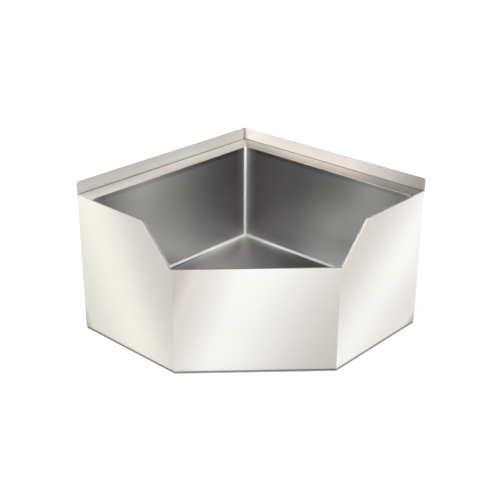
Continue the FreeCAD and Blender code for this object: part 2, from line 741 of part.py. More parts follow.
# Test every object, then write one file for each piece.
doc.recompute()
for item in doc.Objects:
    if "Invalid" in item.State or "Error" in item.State:
        raise RuntimeError(f"{item.Label} failed: {item.State}")
for piece in pieces:
    shape = piece.Shape
    if shape.isNull() or not shape.isValid() or len(shape.Solids) != 1:
        raise RuntimeError(f"{piece.Label} is not one sound solid")

os.makedirs("parts", exist_ok=True)
for piece in pieces:
    piece.Shape.exportStep(os.path.join("parts", piece.Label + ".step"))
print(len(pieces), "pieces written")
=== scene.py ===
import math

import bmesh
import bpy
import numpy as np
from mathutils import Matrix, Vector


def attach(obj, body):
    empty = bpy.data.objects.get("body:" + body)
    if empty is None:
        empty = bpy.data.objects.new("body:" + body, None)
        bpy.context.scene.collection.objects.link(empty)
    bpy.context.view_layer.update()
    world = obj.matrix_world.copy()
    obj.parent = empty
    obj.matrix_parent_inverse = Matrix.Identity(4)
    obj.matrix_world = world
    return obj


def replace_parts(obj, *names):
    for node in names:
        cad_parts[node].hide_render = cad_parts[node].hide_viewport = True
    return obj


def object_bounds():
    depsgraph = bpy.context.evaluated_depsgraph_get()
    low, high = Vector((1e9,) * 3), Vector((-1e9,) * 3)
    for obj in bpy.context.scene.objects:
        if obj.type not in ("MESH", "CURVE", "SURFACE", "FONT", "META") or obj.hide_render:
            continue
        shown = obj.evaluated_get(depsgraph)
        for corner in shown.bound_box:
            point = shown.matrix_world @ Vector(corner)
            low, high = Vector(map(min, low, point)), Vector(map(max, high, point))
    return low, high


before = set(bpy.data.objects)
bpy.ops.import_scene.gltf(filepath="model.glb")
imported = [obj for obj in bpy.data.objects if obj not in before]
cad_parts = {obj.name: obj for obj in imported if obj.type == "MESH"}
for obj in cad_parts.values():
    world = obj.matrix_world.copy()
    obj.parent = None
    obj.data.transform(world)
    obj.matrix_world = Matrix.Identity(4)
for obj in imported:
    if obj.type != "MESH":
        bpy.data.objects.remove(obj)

cad_box = [list(corner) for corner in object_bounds()]

# Pieces that share a finish
BOWL_SHEETS = ["left_rear_bowl_wall", "right_rear_bowl_wall", "left_side_bowl_wall", "right_side_bowl_wall",
               "front_bowl_wall", "bowl_floor_pan"]
FRAME_STEEL = ["left_floor_stiffener", "right_floor_stiffener", "rear_corner_leg", "rear_leg_foot",
               "left_base_rail", "right_base_rail"]
DRAIN_STEEL = ["drain_body", "strainer_basket", "strainer_plate", "basket_knob"]
NUTS = ["drain_locknut", "coupling_nut"]
RUBBER_RINGS = ["drain_gasket", "tailpiece_washer"]

# Sizes of the sink that the skins, the finishes and the welds share, in metres
WALL_RUN, SIDE_DEPTH, DRAIN_SETBACK = 0.7112, 0.388, 0.3556
DECK_DEPTH, RIM_WIDTH, LIP_DEPTH = 0.059, 0.005, 0.016
DECK_HEIGHT, FRONT_HEIGHT, FLOOR_HEIGHT = 0.4315, 0.320, 0.112
SHEET, COVE_RADIUS, PAN_RISE = 0.0015, 0.008, 0.012

# Heights that follow from them
PAN_EDGE = FLOOR_HEIGHT + PAN_RISE
REAR_LIP = DECK_HEIGHT - LIP_DEPTH
FRONT_LIP = FRONT_HEIGHT - LIP_DEPTH
DECK_UNDERSIDE = DECK_HEIGHT - SHEET

# The walls stand at 45 degrees to the frame's axes, so their ways have this share of each
ROOT_HALF = math.sqrt(0.5)

# The plan, as distances from the middle of the frame to the room's corner, its walls and the bowl's sides
BACK = cad_box[1][1]
WALL_FACE = BACK * ROOT_HALF
DRAIN_BACK = 2 * ROOT_HALF * DRAIN_SETBACK - BACK
BOWL_REAR = WALL_FACE - DECK_DEPTH
BOWL_SIDE = WALL_RUN - RIM_WIDTH - WALL_FACE
BOWL_FRONT = -cad_box[0][1] - RIM_WIDTH

# The bowl's corners on the right and in the middle, each as |x|, y and 1
BOWL_CORNERS = [
    (0.0, BOWL_REAR / ROOT_HALF, 1.0),
    ((BOWL_REAR + BOWL_SIDE) * ROOT_HALF, (BOWL_REAR - BOWL_SIDE) * ROOT_HALF, 1.0),
    (BOWL_SIDE / ROOT_HALF - BOWL_FRONT, -BOWL_FRONT, 1.0),
]


# Colours, nodes and objects

# Settings that many nodes share, and sockets that go by number because their names repeat
SMOOTH, COLOUR = {"interpolation_type": "SMOOTHSTEP"}, {"data_type": "RGBA"}
SUM, DIFFERENCE, PRODUCT, LARGEST, ABSOLUTE, DOT = (
    {"operation": name} for name in ("ADD", "SUBTRACT", "MULTIPLY", "MAXIMUM", "ABSOLUTE", "DOT_PRODUCT"))
COLOUR_A, COLOUR_B, MIXED = 6, 7, 2
LEAST, MOST, DRAWN = 2, 3, 1
ALONG_X = (1, 0, 0)


def linear(code):
    """An sRGB hex colour as linear RGBA."""
    parts = [int(code[i:i + 2], 16) / 255 for i in (1, 3, 5)]
    return tuple(c / 12.92 if c <= 0.04045 else ((c + 0.055) / 1.055) ** 2.4 for c in parts) + (1.0,)


def add(tree, kind, settings=None, inputs=()):
    """Add a node, set its properties, and set or link its inputs, by name or in order. A node that is given
    for an input stands for its first output."""
    made = tree.nodes.new(kind)
    for name, setting in (settings or {}).items():
        setattr(made, name, setting)
    for name, source in inputs.items() if isinstance(inputs, dict) else enumerate(inputs):
        if isinstance(source, bpy.types.Node):
            source = source.outputs[0]
        if isinstance(source, bpy.types.NodeSocket):
            tree.links.new(source, made.inputs[name])
        else:
            made.inputs[name].default_value = source
    return made


def new_object(name, data):
    """A new object in the scene."""
    item = bpy.data.objects.new(name, data)
    bpy.context.scene.collection.objects.link(item)
    return item


# Skins: copies of the sheet pieces whose shading runs on over the bends and the ground welds

# A piece's points closer than MERGE_DISTANCE are merged. Points of two pieces that agree to 1 / SPOT_SCALE
# count as one
MERGE_DISTANCE, SPOT_SCALE = 1e-6, 1e5

# Shading runs on over turns below SMOOTH_ANGLE. A face within PLAIN_ANGLE of a wall's way, or within
# FLOOR_ANGLE of level, is no cove
SMOOTH_ANGLE, PLAIN_ANGLE, FLOOR_ANGLE = math.radians(40), math.radians(9), math.radians(36)
WALL_WAYS = [np.array(way) for way in ((ROOT_HALF, -ROOT_HALF, 0), (-ROOT_HALF, -ROOT_HALF, 0), (0, 1, 0))]

# The back corner: half its width, and where it begins from front to back
BACK_CORNER_HALF, BACK_CORNER_FROM = 0.012, 0.25

# The lip and the rim: distances past the bowl's plan, how far their faces turn up, and the slopes' heights
LIP_BAND, RIM_MIDDLE = (-0.006, 0.0011), 0.0022
LIP_SLANT, RIM_FACING, LEVEL_FACING = 0.7, 0.35, 0.9
SLOPE_HEIGHTS = (FRONT_HEIGHT - 0.0005, DECK_HEIGHT - 0.0025)
SHEET_PART, BOWL_PART, LEVEL_RIM_PART, SLOPING_RIM_PART = range(4)


def hand(node):
    """The side of the sink whose bowl finish a piece shares."""
    return "right" if node.startswith("right") else "left"


def merged_copy(node):
    """A copy of a solid's mesh whose triangles share their points."""
    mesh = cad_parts[node].data.copy()
    mesh.name = node + "_skin"
    form = bmesh.new()
    form.from_mesh(mesh)
    bmesh.ops.remove_doubles(form, verts=form.verts, dist=MERGE_DISTANCE)
    form.to_mesh(mesh)
    form.free()
    return mesh


def spot(point):
    """A point as whole numbers, the same for points of two pieces that meet."""
    return tuple(int(round(c * SPOT_SCALE)) for c in point)


def run_on_normals(meshes):
    """Give each corner the area-weighted normal of those faces round its point that turn little from its
    own face."""
    around = {}
    for mesh in meshes:
        for face in mesh.polygons:
            normal = np.array(face.normal)
            for index in face.vertices:
                around.setdefault(spot(mesh.vertices[index].co), []).append((normal, face.area))
    limit = math.cos(SMOOTH_ANGLE)
    for mesh in meshes:
        normals = []
        for face in mesh.polygons:
            own = np.array(face.normal)
            for index in face.vertices:
                total = sum(n * a for n, a in around[spot(mesh.vertices[index].co)] if n @ own > limit)
                normals.append(total / np.linalg.norm(total))
        mesh.shade_smooth()
        mesh.normals_split_custom_set(normals)


def mark_coves(mesh, upright_only):
    """Write the cove attribute: 1 where the sheet turns from one wall of the bowl to the next or to its
    floor, which marks where the finish paints the coves' highlight line; but not in the back corner, whose
    line the finish draws itself."""
    turned = np.zeros(len(mesh.vertices), np.float32)
    plain, floor = math.cos(PLAIN_ANGLE), math.cos(FLOOR_ANGLE)
    corners = mesh.corner_normals
    for face in mesh.polygons:
        for loop, index in zip(face.loop_indices, face.vertices):
            normal = np.array(corners[loop].vector)
            level = np.linalg.norm(normal[:2])
            facing_wall = max(abs(normal @ way) for way in WALL_WAYS)
            if upright_only:
                in_cove = level > LIP_SLANT and facing_wall < level * plain
            else:
                in_cove = facing_wall <= plain and abs(normal[2]) <= floor
            turned[index] = max(turned[index], in_cove)
    for point in mesh.vertices:
        if abs(point.co.x) < BACK_CORNER_HALF and point.co.y > BACK_CORNER_FROM:
            turned[point.index] = 0
    cove = mesh.attributes.new("cove", "FLOAT", "POINT")
    cove.data.foreach_set("value", turned)


def past_bowl(point):
    """How far a point lies outside the bowl's plan: behind it, and on whichever side is farthest out."""
    x, y = abs(point.x), point.y
    behind = (x + y) * ROOT_HALF - BOWL_REAR
    return behind, max(behind, (x - y) * ROOT_HALF - BOWL_SIDE, -y - BOWL_FRONT)


def rim_part(face, on_apron):
    """Which of a skin's finishes a face has: its sheet's own, the bowl's on the lip and the rim's inner
    half, or that of the level or the sloping rim on the outer half."""
    behind, outside = past_bowl(face.center)
    inwards = face.normal.x * face.center.x + face.normal.y * (face.center.y + DRAIN_BACK) < 0
    on_lip = LIP_BAND[0] < outside < LIP_BAND[1] and inwards and abs(face.normal.z) < LIP_SLANT
    on_top = on_apron and behind < LIP_BAND[0] < outside and face.normal.z > RIM_FACING
    if on_top and outside > RIM_MIDDLE:
        sloping = face.normal.z < LEVEL_FACING and SLOPE_HEIGHTS[0] < face.center.z < SLOPE_HEIGHTS[1]
        return SLOPING_RIM_PART if sloping else LEVEL_RIM_PART
    return BOWL_PART if on_lip or on_top else SHEET_PART


def finished_piece(name, mesh, body):
    """A mesh as a piece of the scene that rides on a body."""
    piece = new_object(name, mesh)
    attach(piece, body)
    return piece


def skins(satin, bowl, walls, rims):
    """Make the skins of all the sheet pieces. An outer sheet has four finishes, in the order of its parts:
    its own, its side of the bowl's, and the two of the rim."""
    meshes = {node: merged_copy(node) for node in [*satin, *bowl]}
    run_on_normals(list(meshes.values()))
    for node, mesh in meshes.items():
        mesh.materials.clear()
        mesh.materials.append(satin.get(node) or bowl[node])
        mark_coves(mesh, upright_only=node in satin)
        if node in satin:
            for finish in [walls[hand(node)], *rims]:
                mesh.materials.append(finish)
            for face in mesh.polygons:
                face.material_index = rim_part(face, node.endswith("apron"))
        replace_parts(finished_piece(node + "_skin", mesh, "sink"), node)


# Finishes of the sheet

# The belt's lines, and how the patterns of all the finishes act on a surface
GRAIN_LONG, GRAIN_WIDE = 0.09, 0.0018
NOISE_RANGE, PATTERN_HEIGHT = (0.25, 0.75), 0.0005
COVE_LINE_ROUGHNESS = 1.0

# Painted shade on the decks and the upstands: a dark line in their crease, darker front edges on the decks,
# and a shade in front of the crease towards the left end
CREASE_SETBACK, CREASE_WIDTH, CREASE_SHADE = 0.0025, 0.0018, "#6E6862"
EDGE_SHARE, EDGE_SHADE = 0.6, "#4A4442"
REAR_BAND, REAR_RUN, REAR_SHADE = (0.010, 0.045), (-0.40, -0.17), "#C4C0BC"

# The bowl's painted light and shade: lighter away from its back corner and low down, a painted shade just
# under the decks, and lighter where it paints the reflection of its coves' bright lines
PAINTED_LIGHT_OUT, PAINTED_LIGHT_HEIGHTS, PAINTED_LIGHT_TONE = (0.12, 0.32), (0.22, 0.42), "#F0F0EF"
UNDER_DECK_SHADE_HEIGHTS, UNDER_DECK_SHADE_SHARE, OUTER_UNDER_DECK_SHADE, UNDER_DECK_SHADE_TONE = (0.412, 0.424), 0.5, 0.5, "#3A3433"
COVE_REFLECTION_REACH, COVE_REFLECTION_SHARE, COVE_REFLECTION_TONE = 0.045, 0.3, "#F4F4F2"
COVE_REFLECTION_OUT, COVE_REFLECTION_HEIGHTS = (0.06, 0.16), (PAN_EDGE - 0.004, PAN_EDGE + 0.027)


def over_floor(low, high):
    """Two heights over the bowl's floor."""
    return FLOOR_HEIGHT + low, FLOOR_HEIGHT + high


# The floor cove's painted highlight line: its foot and top, how far the line climbs the rear walls and the
# share of that which its foot takes, the bend below it with a painted dark line, and how far the highlight
# spreads over it
LINE_FOOT, LINE_TOP = over_floor(0.0005, 0.0020), over_floor(0.0070, 0.0106)
CLIMB_RUN, LEFT_CLIMB, RIGHT_CLIMB, FOOT_CLIMB = (0.06, 0.24), 0.0024, 0.0036, 0.5
BEND_FOOT, UNDERLINE_SHADE = over_floor(0.0001, 0.0007), "#646262"
HIGHLIGHT_SPREAD_OUT, HIGHLIGHT_SPREAD_HEIGHTS, HIGHLIGHT_SPREAD_SHARE = (0.11, 0.24), over_floor(0.007, 0.098), 0.5

# The back corner's painted highlight line, from left to right
BACK_LINE_START, BACK_LINE_END = (-0.0104, -0.0046), (-0.0016, 0.0032)


def new_finish(name, metallic=1.0):
    """A new material, its tree, its shader, and the place of a point on the piece."""
    finish = bpy.data.materials.new(name)
    finish.use_nodes = True
    shader = finish.node_tree.nodes["Principled BSDF"]
    shader.inputs["Metallic"].default_value = metallic
    place = add(finish.node_tree, "ShaderNodeTexCoord").outputs["Object"]
    return finish, finish.node_tree, shader, place


def brushed_lines(tree, place, turn=0.0, fine="Z"):
    """Lines along a sheet. The belt's own are about 0.1 mm wide, so they are drawn coarser, to show."""
    turned = add(tree, "ShaderNodeMapping", inputs={"Vector": place, "Rotation": (0, 0, math.radians(turn))})
    stretch = tuple(1 / GRAIN_WIDE if axis == fine else 1 / GRAIN_LONG for axis in "XYZ")
    lines = add(tree, "ShaderNodeMapping", inputs={"Vector": turned, "Scale": stretch})
    return add(tree, "ShaderNodeTexNoise", inputs={
        "Vector": lines, "Scale": 1.0, "Detail": 4.0, "Roughness": 0.6})


def brush(tree, shader, lines, roughness, spread, depth, cove_highlight=None):
    """Let a pattern change a surface's roughness and height a little, and let the coves' painted highlight
    share make it matt.
    """
    shader.inputs["Roughness"].default_value = roughness
    if spread:
        level = add(tree, "ShaderNodeMapRange", inputs=(
            lines, *NOISE_RANGE, roughness - spread, roughness + spread))
        if cove_highlight is not None:
            level = add(tree, "ShaderNodeMath", {"operation": "MULTIPLY_ADD"}, (
                cove_highlight, COVE_LINE_ROUGHNESS - roughness, level))
        tree.links.new(level.outputs[0], shader.inputs["Roughness"])
    bump = add(tree, "ShaderNodeBump", inputs={
        "Height": lines, "Strength": depth, "Distance": PATTERN_HEIGHT})
    tree.links.new(bump.outputs["Normal"], shader.inputs["Normal"])


def tones_along(tree, place, way, tones, interpolation="EASE"):
    """A colour that goes from tone to tone, given as distances along a way and hex colours."""
    along = add(tree, "ShaderNodeVectorMath", DOT, (place, way))
    start, reach = tones[0][0], tones[-1][0] - tones[0][0]
    share = add(tree, "ShaderNodeMapRange", inputs=(along.outputs["Value"], start, start + reach))
    band = add(tree, "ShaderNodeValToRGB", inputs=(share,))
    band.color_ramp.interpolation = interpolation
    stops = band.color_ramp.elements
    for distance, _ in tones[1:-1]:
        stops.new((distance - start) / reach)
    for stop, (_, colour) in zip(stops, tones):
        stop.color = linear(colour)
    return band.outputs["Color"]


def folded_plan(tree, xyz):
    """A place in plan with the left half folded onto the right one, as |x|, y and 1."""
    across = add(tree, "ShaderNodeMath", ABSOLUTE, (xyz["X"],))
    return add(tree, "ShaderNodeCombineXYZ", inputs=(across, xyz["Y"], 1.0))


def outside_plan(tree, xyz, rear, side, front):
    """How far a place lies outside a plan whose sides are at these distances from the middle."""
    plan = folded_plan(tree, xyz)
    ways = ((ROOT_HALF, ROOT_HALF, -rear), (ROOT_HALF, -ROOT_HALF, -side), (0.0, -1.0, -front))
    past = [add(tree, "ShaderNodeVectorMath", DOT, (plan, way)).outputs["Value"] for way in ways]
    farthest = past[0]
    for distance in past[1:]:
        farthest = add(tree, "ShaderNodeMath", LARGEST, (farthest, distance))
    return farthest


def belt_ground_stainless(name, way, tones):
    """304 stainless sheet, satin ground on a belt: pale and soft-edged in its reflections, with a painted
    sheen band across it, its tones a little warmer and darker away from the band's slanting middle."""
    finish, tree, shader, place = new_finish(name)
    tree.links.new(tones_along(tree, place, way, tones), shader.inputs["Base Color"])
    brush(tree, shader, brushed_lines(tree, place), roughness=0.28, spread=0.008, depth=0.004)
    return finish


def creased_tone(tree, along, crease, tone):
    """A tone with a painted dark line of shade in the crease of deck and upstand."""
    past = add(tree, "ShaderNodeMath", DIFFERENCE, (along, crease))
    apart = add(tree, "ShaderNodeMath", ABSOLUTE, (past,))
    clear = add(tree, "ShaderNodeMapRange", SMOOTH, (apart, 0.0, CREASE_WIDTH))
    return add(tree, "ShaderNodeMix", COLOUR, {
        "Factor": clear, COLOUR_A: linear(CREASE_SHADE), COLOUR_B: tone}).outputs[MIXED]


def brushed_upstand(name, tones, roughness):
    """304 stainless upstand, brushed along its length: a duller beige-grey, with broad soft reflections
    painted into its tones, and a painted dark line of shade in the crease at its foot."""
    finish, tree, shader, place = new_finish(name)
    xyz = add(tree, "ShaderNodeSeparateXYZ", inputs=(place,))
    plain = tones_along(tree, place, ALONG_X, tones, "LINEAR")
    tree.links.new(creased_tone(tree, xyz.outputs["Z"], DECK_HEIGHT, plain), shader.inputs["Base Color"])
    brush(tree, shader, brushed_lines(tree, place), roughness, spread=0.03, depth=0.015)
    return finish


def brushed_deck(name, tones, turn, way, edge, rear_share):
    """304 stainless deck, brushed along its length like the upstand, with painted reflections in its tones.
    Along a way out from the wall it has painted shade: a dark line in the crease, a share of a darker shade
    in front of that, and a darker front edge, which begins and ends at two distances past the bowl's rear
    line."""
    finish, tree, shader, place = new_finish(name)
    xyz = add(tree, "ShaderNodeSeparateXYZ", inputs=(place,))
    along = add(tree, "ShaderNodeVectorMath", DOT, (place, way)).outputs["Value"]
    crease = CREASE_SETBACK - WALL_FACE
    ended = add(tree, "ShaderNodeMapRange", SMOOTH, (xyz.outputs["X"], *REAR_RUN, rear_share, 0.0))
    rear = add(tree, "ShaderNodeMapRange", SMOOTH, (
        along, crease + REAR_BAND[0], crease + REAR_BAND[1], ended, 0.0))
    shaded = add(tree, "ShaderNodeMix", {**COLOUR, "blend_type": "MULTIPLY"}, {
        "Factor": rear, COLOUR_A: tones_along(tree, place, ALONG_X, tones, "LINEAR"),
        COLOUR_B: linear(REAR_SHADE)})
    creased = creased_tone(tree, along, crease, shaded.outputs[MIXED])
    rolled = add(tree, "ShaderNodeMapRange", SMOOTH, (
        along, edge[0] - BOWL_REAR, edge[1] - BOWL_REAR, 0.0, EDGE_SHARE))
    edge_shaded = add(tree, "ShaderNodeMix", COLOUR, {
        "Factor": rolled, COLOUR_A: creased, COLOUR_B: linear(EDGE_SHADE)})
    tree.links.new(edge_shaded.outputs[MIXED], shader.inputs["Base Color"])
    brush(tree, shader, brushed_lines(tree, place, turn, "Y"), roughness=0.5, spread=0.03, depth=0.015)
    return finish


def linished_stainless(name, tones, roughness):
    """304 stainless rim, ground round by hand with a well-used belt: a thin line with few reflections or
    none of its own, whose tones are painted reflections.
    """
    finish, tree, shader, place = new_finish(name)
    tree.links.new(tones_along(tree, place, ALONG_X, tones), shader.inputs["Base Color"])
    brush(tree, shader, brushed_lines(tree, place), roughness, spread=0.0, depth=0.006)
    return finish


# Finish of the bowl

def highlight_climb(tree, x):
    """How far the floor's painted highlight line climbs the rear walls, away from the back corner."""
    left = add(tree, "ShaderNodeMapRange", inputs=(x, -CLIMB_RUN[1], -CLIMB_RUN[0], LEFT_CLIMB, 0.0))
    right = add(tree, "ShaderNodeMapRange", inputs=(x, *CLIMB_RUN, 0.0, RIGHT_CLIMB))
    return add(tree, "ShaderNodeMath", SUM, (left, right))


def back_corner_line(tree, xyz):
    """1 on the painted highlight line of the back corner's ground cove, and soft at its two edges."""
    start = add(tree, "ShaderNodeMapRange", SMOOTH, (xyz["X"], *BACK_LINE_START, 0.0, 1.0))
    end = add(tree, "ShaderNodeMapRange", SMOOTH, (xyz["X"], *BACK_LINE_END, 1.0, 0.0))
    band = add(tree, "ShaderNodeMath", PRODUCT, (start, end))
    at_back = add(tree, "ShaderNodeMath", {"operation": "GREATER_THAN"}, (xyz["Y"], BACK_CORNER_FROM))
    return add(tree, "ShaderNodeMath", PRODUCT, (band, at_back))


def highlight_spread(tree, x, height):
    """The share by which the floor's painted highlight line spreads upwards on the right, less and less
    higher up.
    """
    spread_right = add(tree, "ShaderNodeMapRange", SMOOTH, (x, *HIGHLIGHT_SPREAD_OUT, 0.0, HIGHLIGHT_SPREAD_SHARE))
    fading = add(tree, "ShaderNodeMapRange", inputs=(height, *HIGHLIGHT_SPREAD_HEIGHTS, 1.0, 0.0))
    return add(tree, "ShaderNodeMath", PRODUCT, (spread_right, fading))


def cove_highlight_share(tree, xyz, cove):
    """How far the bowl takes its painted highlight: wholly in its coves, in the back corner's line and along
    the floor's welded cove, and in part where the line spreads. The second share is that of the painted dark
    line on the bend below it."""
    climb = highlight_climb(tree, xyz["X"])
    height = add(tree, "ShaderNodeMath", DIFFERENCE, (xyz["Z"], climb))
    foot_climb = add(tree, "ShaderNodeMath", PRODUCT, (climb, FOOT_CLIMB))
    foot = add(tree, "ShaderNodeMath", DIFFERENCE, (xyz["Z"], foot_climb))
    over = add(tree, "ShaderNodeMapRange", SMOOTH, (foot, *LINE_FOOT, 0.0, 1.0))
    under = add(tree, "ShaderNodeMapRange", SMOOTH, (height, *LINE_TOP, 1.0, 0.0))
    most = add(tree, "ShaderNodeMath", SUM, (back_corner_line(tree, xyz), cove))
    for part in (under, highlight_spread(tree, xyz["X"], height)):
        most = add(tree, "ShaderNodeMath", LARGEST, (most, part))
    share = add(tree, "ShaderNodeMath", PRODUCT, (most, over))
    below = add(tree, "ShaderNodeMath", DIFFERENCE, (1.0, over))
    bent = add(tree, "ShaderNodeMapRange", inputs=(xyz["Z"], *BEND_FOOT, 0.0, 1.0))
    climbed = add(tree, "ShaderNodeMapRange", inputs=(climb, 0.0, LEFT_CLIMB, 0.0, 1.0))
    strip = add(tree, "ShaderNodeMath", PRODUCT, (bent, below))
    return share, add(tree, "ShaderNodeMath", PRODUCT, (strip, climbed))


def cove_reflection_walls(tree, xyz):
    """Painted reflection of the coves' bright lines: lighter by the upright coves and just above the
    floor's.
    """
    nearest = add(tree, "ShaderNodeMapRange", inputs=(xyz["Z"], *COVE_REFLECTION_HEIGHTS, COVE_REFLECTION_SHARE, 0.0))
    plan = folded_plan(tree, xyz)
    for corner in BOWL_CORNERS:
        distance = add(tree, "ShaderNodeVectorMath", {"operation": "DISTANCE"}, (plan, corner))
        near = add(tree, "ShaderNodeMapRange", inputs=(
            distance.outputs["Value"], COVE_RADIUS, COVE_REFLECTION_REACH, COVE_REFLECTION_SHARE, 0.0))
        nearest = add(tree, "ShaderNodeMath", LARGEST, (nearest, near))
    return nearest


def cove_reflection_floor(tree, xyz):
    """Painted reflection of the coves' bright lines: lighter along the walls, but less and less to the
    right.
    """
    kept = add(tree, "ShaderNodeMapRange", inputs=(xyz["X"], *COVE_REFLECTION_OUT, COVE_REFLECTION_SHARE, 0.0))
    outline = outside_plan(tree, xyz, BOWL_REAR, BOWL_SIDE, BOWL_FRONT)
    return add(tree, "ShaderNodeMapRange", inputs=(outline, -COVE_REFLECTION_REACH, -COVE_RADIUS, 0.0, kept))


def lit_and_shaded_tone(tree, xyz, plain, low_share, corner_share):
    """A plain sheet's tone with painted light low down and away from the back corner, and painted shade just
    under the decks."""
    away = add(tree, "ShaderNodeMath", ABSOLUTE, (xyz["X"],))
    reached = add(tree, "ShaderNodeMapRange", SMOOTH, (away, *PAINTED_LIGHT_OUT, corner_share, 1.0))
    low = add(tree, "ShaderNodeMapRange", SMOOTH, (xyz["Z"], *PAINTED_LIGHT_HEIGHTS, low_share, 0.0))
    share = add(tree, "ShaderNodeMath", PRODUCT, (reached, low))
    lightened = add(tree, "ShaderNodeMix", COLOUR, {
        "Factor": share, COLOUR_A: plain, COLOUR_B: linear(PAINTED_LIGHT_TONE)})
    under_deck = add(tree, "ShaderNodeMapRange", SMOOTH, (xyz["Z"], *UNDER_DECK_SHADE_HEIGHTS, 0.0, UNDER_DECK_SHADE_SHARE))
    under_deck_fade = add(tree, "ShaderNodeMapRange", SMOOTH, (away, *PAINTED_LIGHT_OUT, 1.0, OUTER_UNDER_DECK_SHADE))
    under_deck_shade = add(tree, "ShaderNodeMath", PRODUCT, (under_deck, under_deck_fade))
    under_deck_shaded = add(tree, "ShaderNodeMix", COLOUR, {
        "Factor": under_deck_shade, COLOUR_A: lightened.outputs[MIXED], COLOUR_B: linear(UNDER_DECK_SHADE_TONE)})
    return under_deck_shaded.outputs[MIXED]


def bowl_stainless_painted_light(name, tones, low_share, corner_share, cove_highlight, fine="Z", cove_reflection=cove_reflection_walls):
    """304 stainless bowl, brushed dark grey, with painted light and shade in its tones. Its welded coves are
    ground and carry a painted highlight: a matt, near-white line, drawn as no metal, with a painted
    reflection of it in the faces beside."""
    finish, tree, shader, place = new_finish(name)
    xyz = add(tree, "ShaderNodeSeparateXYZ", inputs=(place,)).outputs
    cove = add(tree, "ShaderNodeAttribute", {"attribute_name": "cove"})
    highlight, underline = cove_highlight_share(tree, xyz, cove.outputs["Fac"])
    plain = tones_along(tree, place, ALONG_X, tones, "CARDINAL")
    tone = lit_and_shaded_tone(tree, xyz, plain, low_share, corner_share)
    layers = ((cove_reflection(tree, xyz), COVE_REFLECTION_TONE), (underline, UNDERLINE_SHADE), (highlight, cove_highlight))
    for share, colour in layers:
        tone = add(tree, "ShaderNodeMix", COLOUR, {
            "Factor": share, COLOUR_A: tone, COLOUR_B: linear(colour)}).outputs[MIXED]
    tree.links.new(tone, shader.inputs["Base Color"])
    metal_share = add(tree, "ShaderNodeMath", DIFFERENCE, (1.0, highlight))
    tree.links.new(metal_share.outputs[0], shader.inputs["Metallic"])
    lines = brushed_lines(tree, place, fine=fine)
    brush(tree, shader, lines, roughness=0.42, spread=0.03, depth=0.012, cove_highlight=highlight)
    return finish


# Finishes of the frame, the drain and the welds

# Sizes of their patterns, in metres, and how strongly rubber and fibre bend light
MILL_CLOUD, HEAT_TINT = 0.045, 0.011
TOOL_MARK, BRASS_PATCH, SAND_GRAIN = 0.0009, 0.02, 0.001
DRAWN_WIDE, DRAWN_LONG = 0.0015, 0.04
RUBBER_BLOOM, RUBBER_GRAIN = 0.012, 0.0005
FIBRE_LONG, FIBRE_WIDE = 0.004, 0.0006
RUBBER_IOR, FIBRE_IOR = 1.52, 1.5


def cold_rolled_stainless(name):
    """304 stainless as it leaves the rolls (mill finish): an even mid grey, clouded at a palm's size."""
    finish, tree, shader, place = new_finish(name)
    shader.inputs["Base Color"].default_value = linear("#B0AEA9")
    clouds = add(tree, "ShaderNodeTexNoise", inputs={
        "Vector": place, "Scale": 1 / MILL_CLOUD, "Detail": 3.0})
    brush(tree, shader, clouds, roughness=0.36, spread=0.08, depth=0.02)
    return finish


def turned_stainless(name):
    """304 stainless turned and polished on a lathe: bright, with fine rings round the drain's axis. The
    tool's marks are about 0.2 mm apart and are drawn at 0.9 mm, to show."""
    finish, tree, shader, place = new_finish(name)
    shader.inputs["Base Color"].default_value = linear("#D6D5D2")
    centred = add(tree, "ShaderNodeMapping", inputs={"Vector": place, "Location": (0, DRAIN_BACK, 0)})
    level = add(tree, "ShaderNodeSeparateXYZ", inputs=(centred,))
    flat = add(tree, "ShaderNodeCombineXYZ", inputs=(level.outputs["X"], level.outputs["Y"]))
    radius = add(tree, "ShaderNodeVectorMath", {"operation": "LENGTH"}, (flat,))
    travel = add(tree, "ShaderNodeMath", SUM, (radius.outputs["Value"], level.outputs["Z"]))
    rings = add(tree, "ShaderNodeTexNoise", {"noise_dimensions": "1D"}, {
        "W": travel, "Scale": 1 / TOOL_MARK, "Detail": 3.0})
    brush(tree, shader, rings, roughness=0.2, spread=0.05, depth=0.05)
    return finish


def cast_brass(name):
    """Brass cast in sand and left as cast: dull yellow, browner in patches, with the sand's 1 mm grain."""
    finish, tree, shader, place = new_finish(name)
    patches = add(tree, "ShaderNodeTexNoise", inputs={
        "Vector": place, "Scale": 1 / BRASS_PATCH, "Detail": 4.0})
    colour = add(tree, "ShaderNodeMix", COLOUR, {
        "Factor": patches, COLOUR_A: linear("#A8854A"), COLOUR_B: linear("#D6B878")})
    tree.links.new(colour.outputs[MIXED], shader.inputs["Base Color"])
    grains = add(tree, "ShaderNodeTexNoise", inputs={
        "Vector": place, "Scale": 1 / SAND_GRAIN, "Detail": 2.0})
    brush(tree, shader, grains, roughness=0.45, spread=0.1, depth=0.25)
    return finish


def chromed_tube(name):
    """Drawn brass tube, polished and chromed: a cool mirror, with faint drawing lines up and down. They are
    about 0.1 mm wide and are drawn at 1.5 mm, to show."""
    finish, tree, shader, place = new_finish(name)
    shader.inputs["Base Color"].default_value = linear("#DDDEE0")
    lines = add(tree, "ShaderNodeMapping", inputs={
        "Vector": place, "Scale": (1 / DRAWN_WIDE, 1 / DRAWN_WIDE, 1 / DRAWN_LONG)})
    drawn = add(tree, "ShaderNodeTexNoise", inputs={"Vector": lines, "Scale": 1.0})
    brush(tree, shader, drawn, roughness=0.1, spread=0.03, depth=0.02)
    return finish


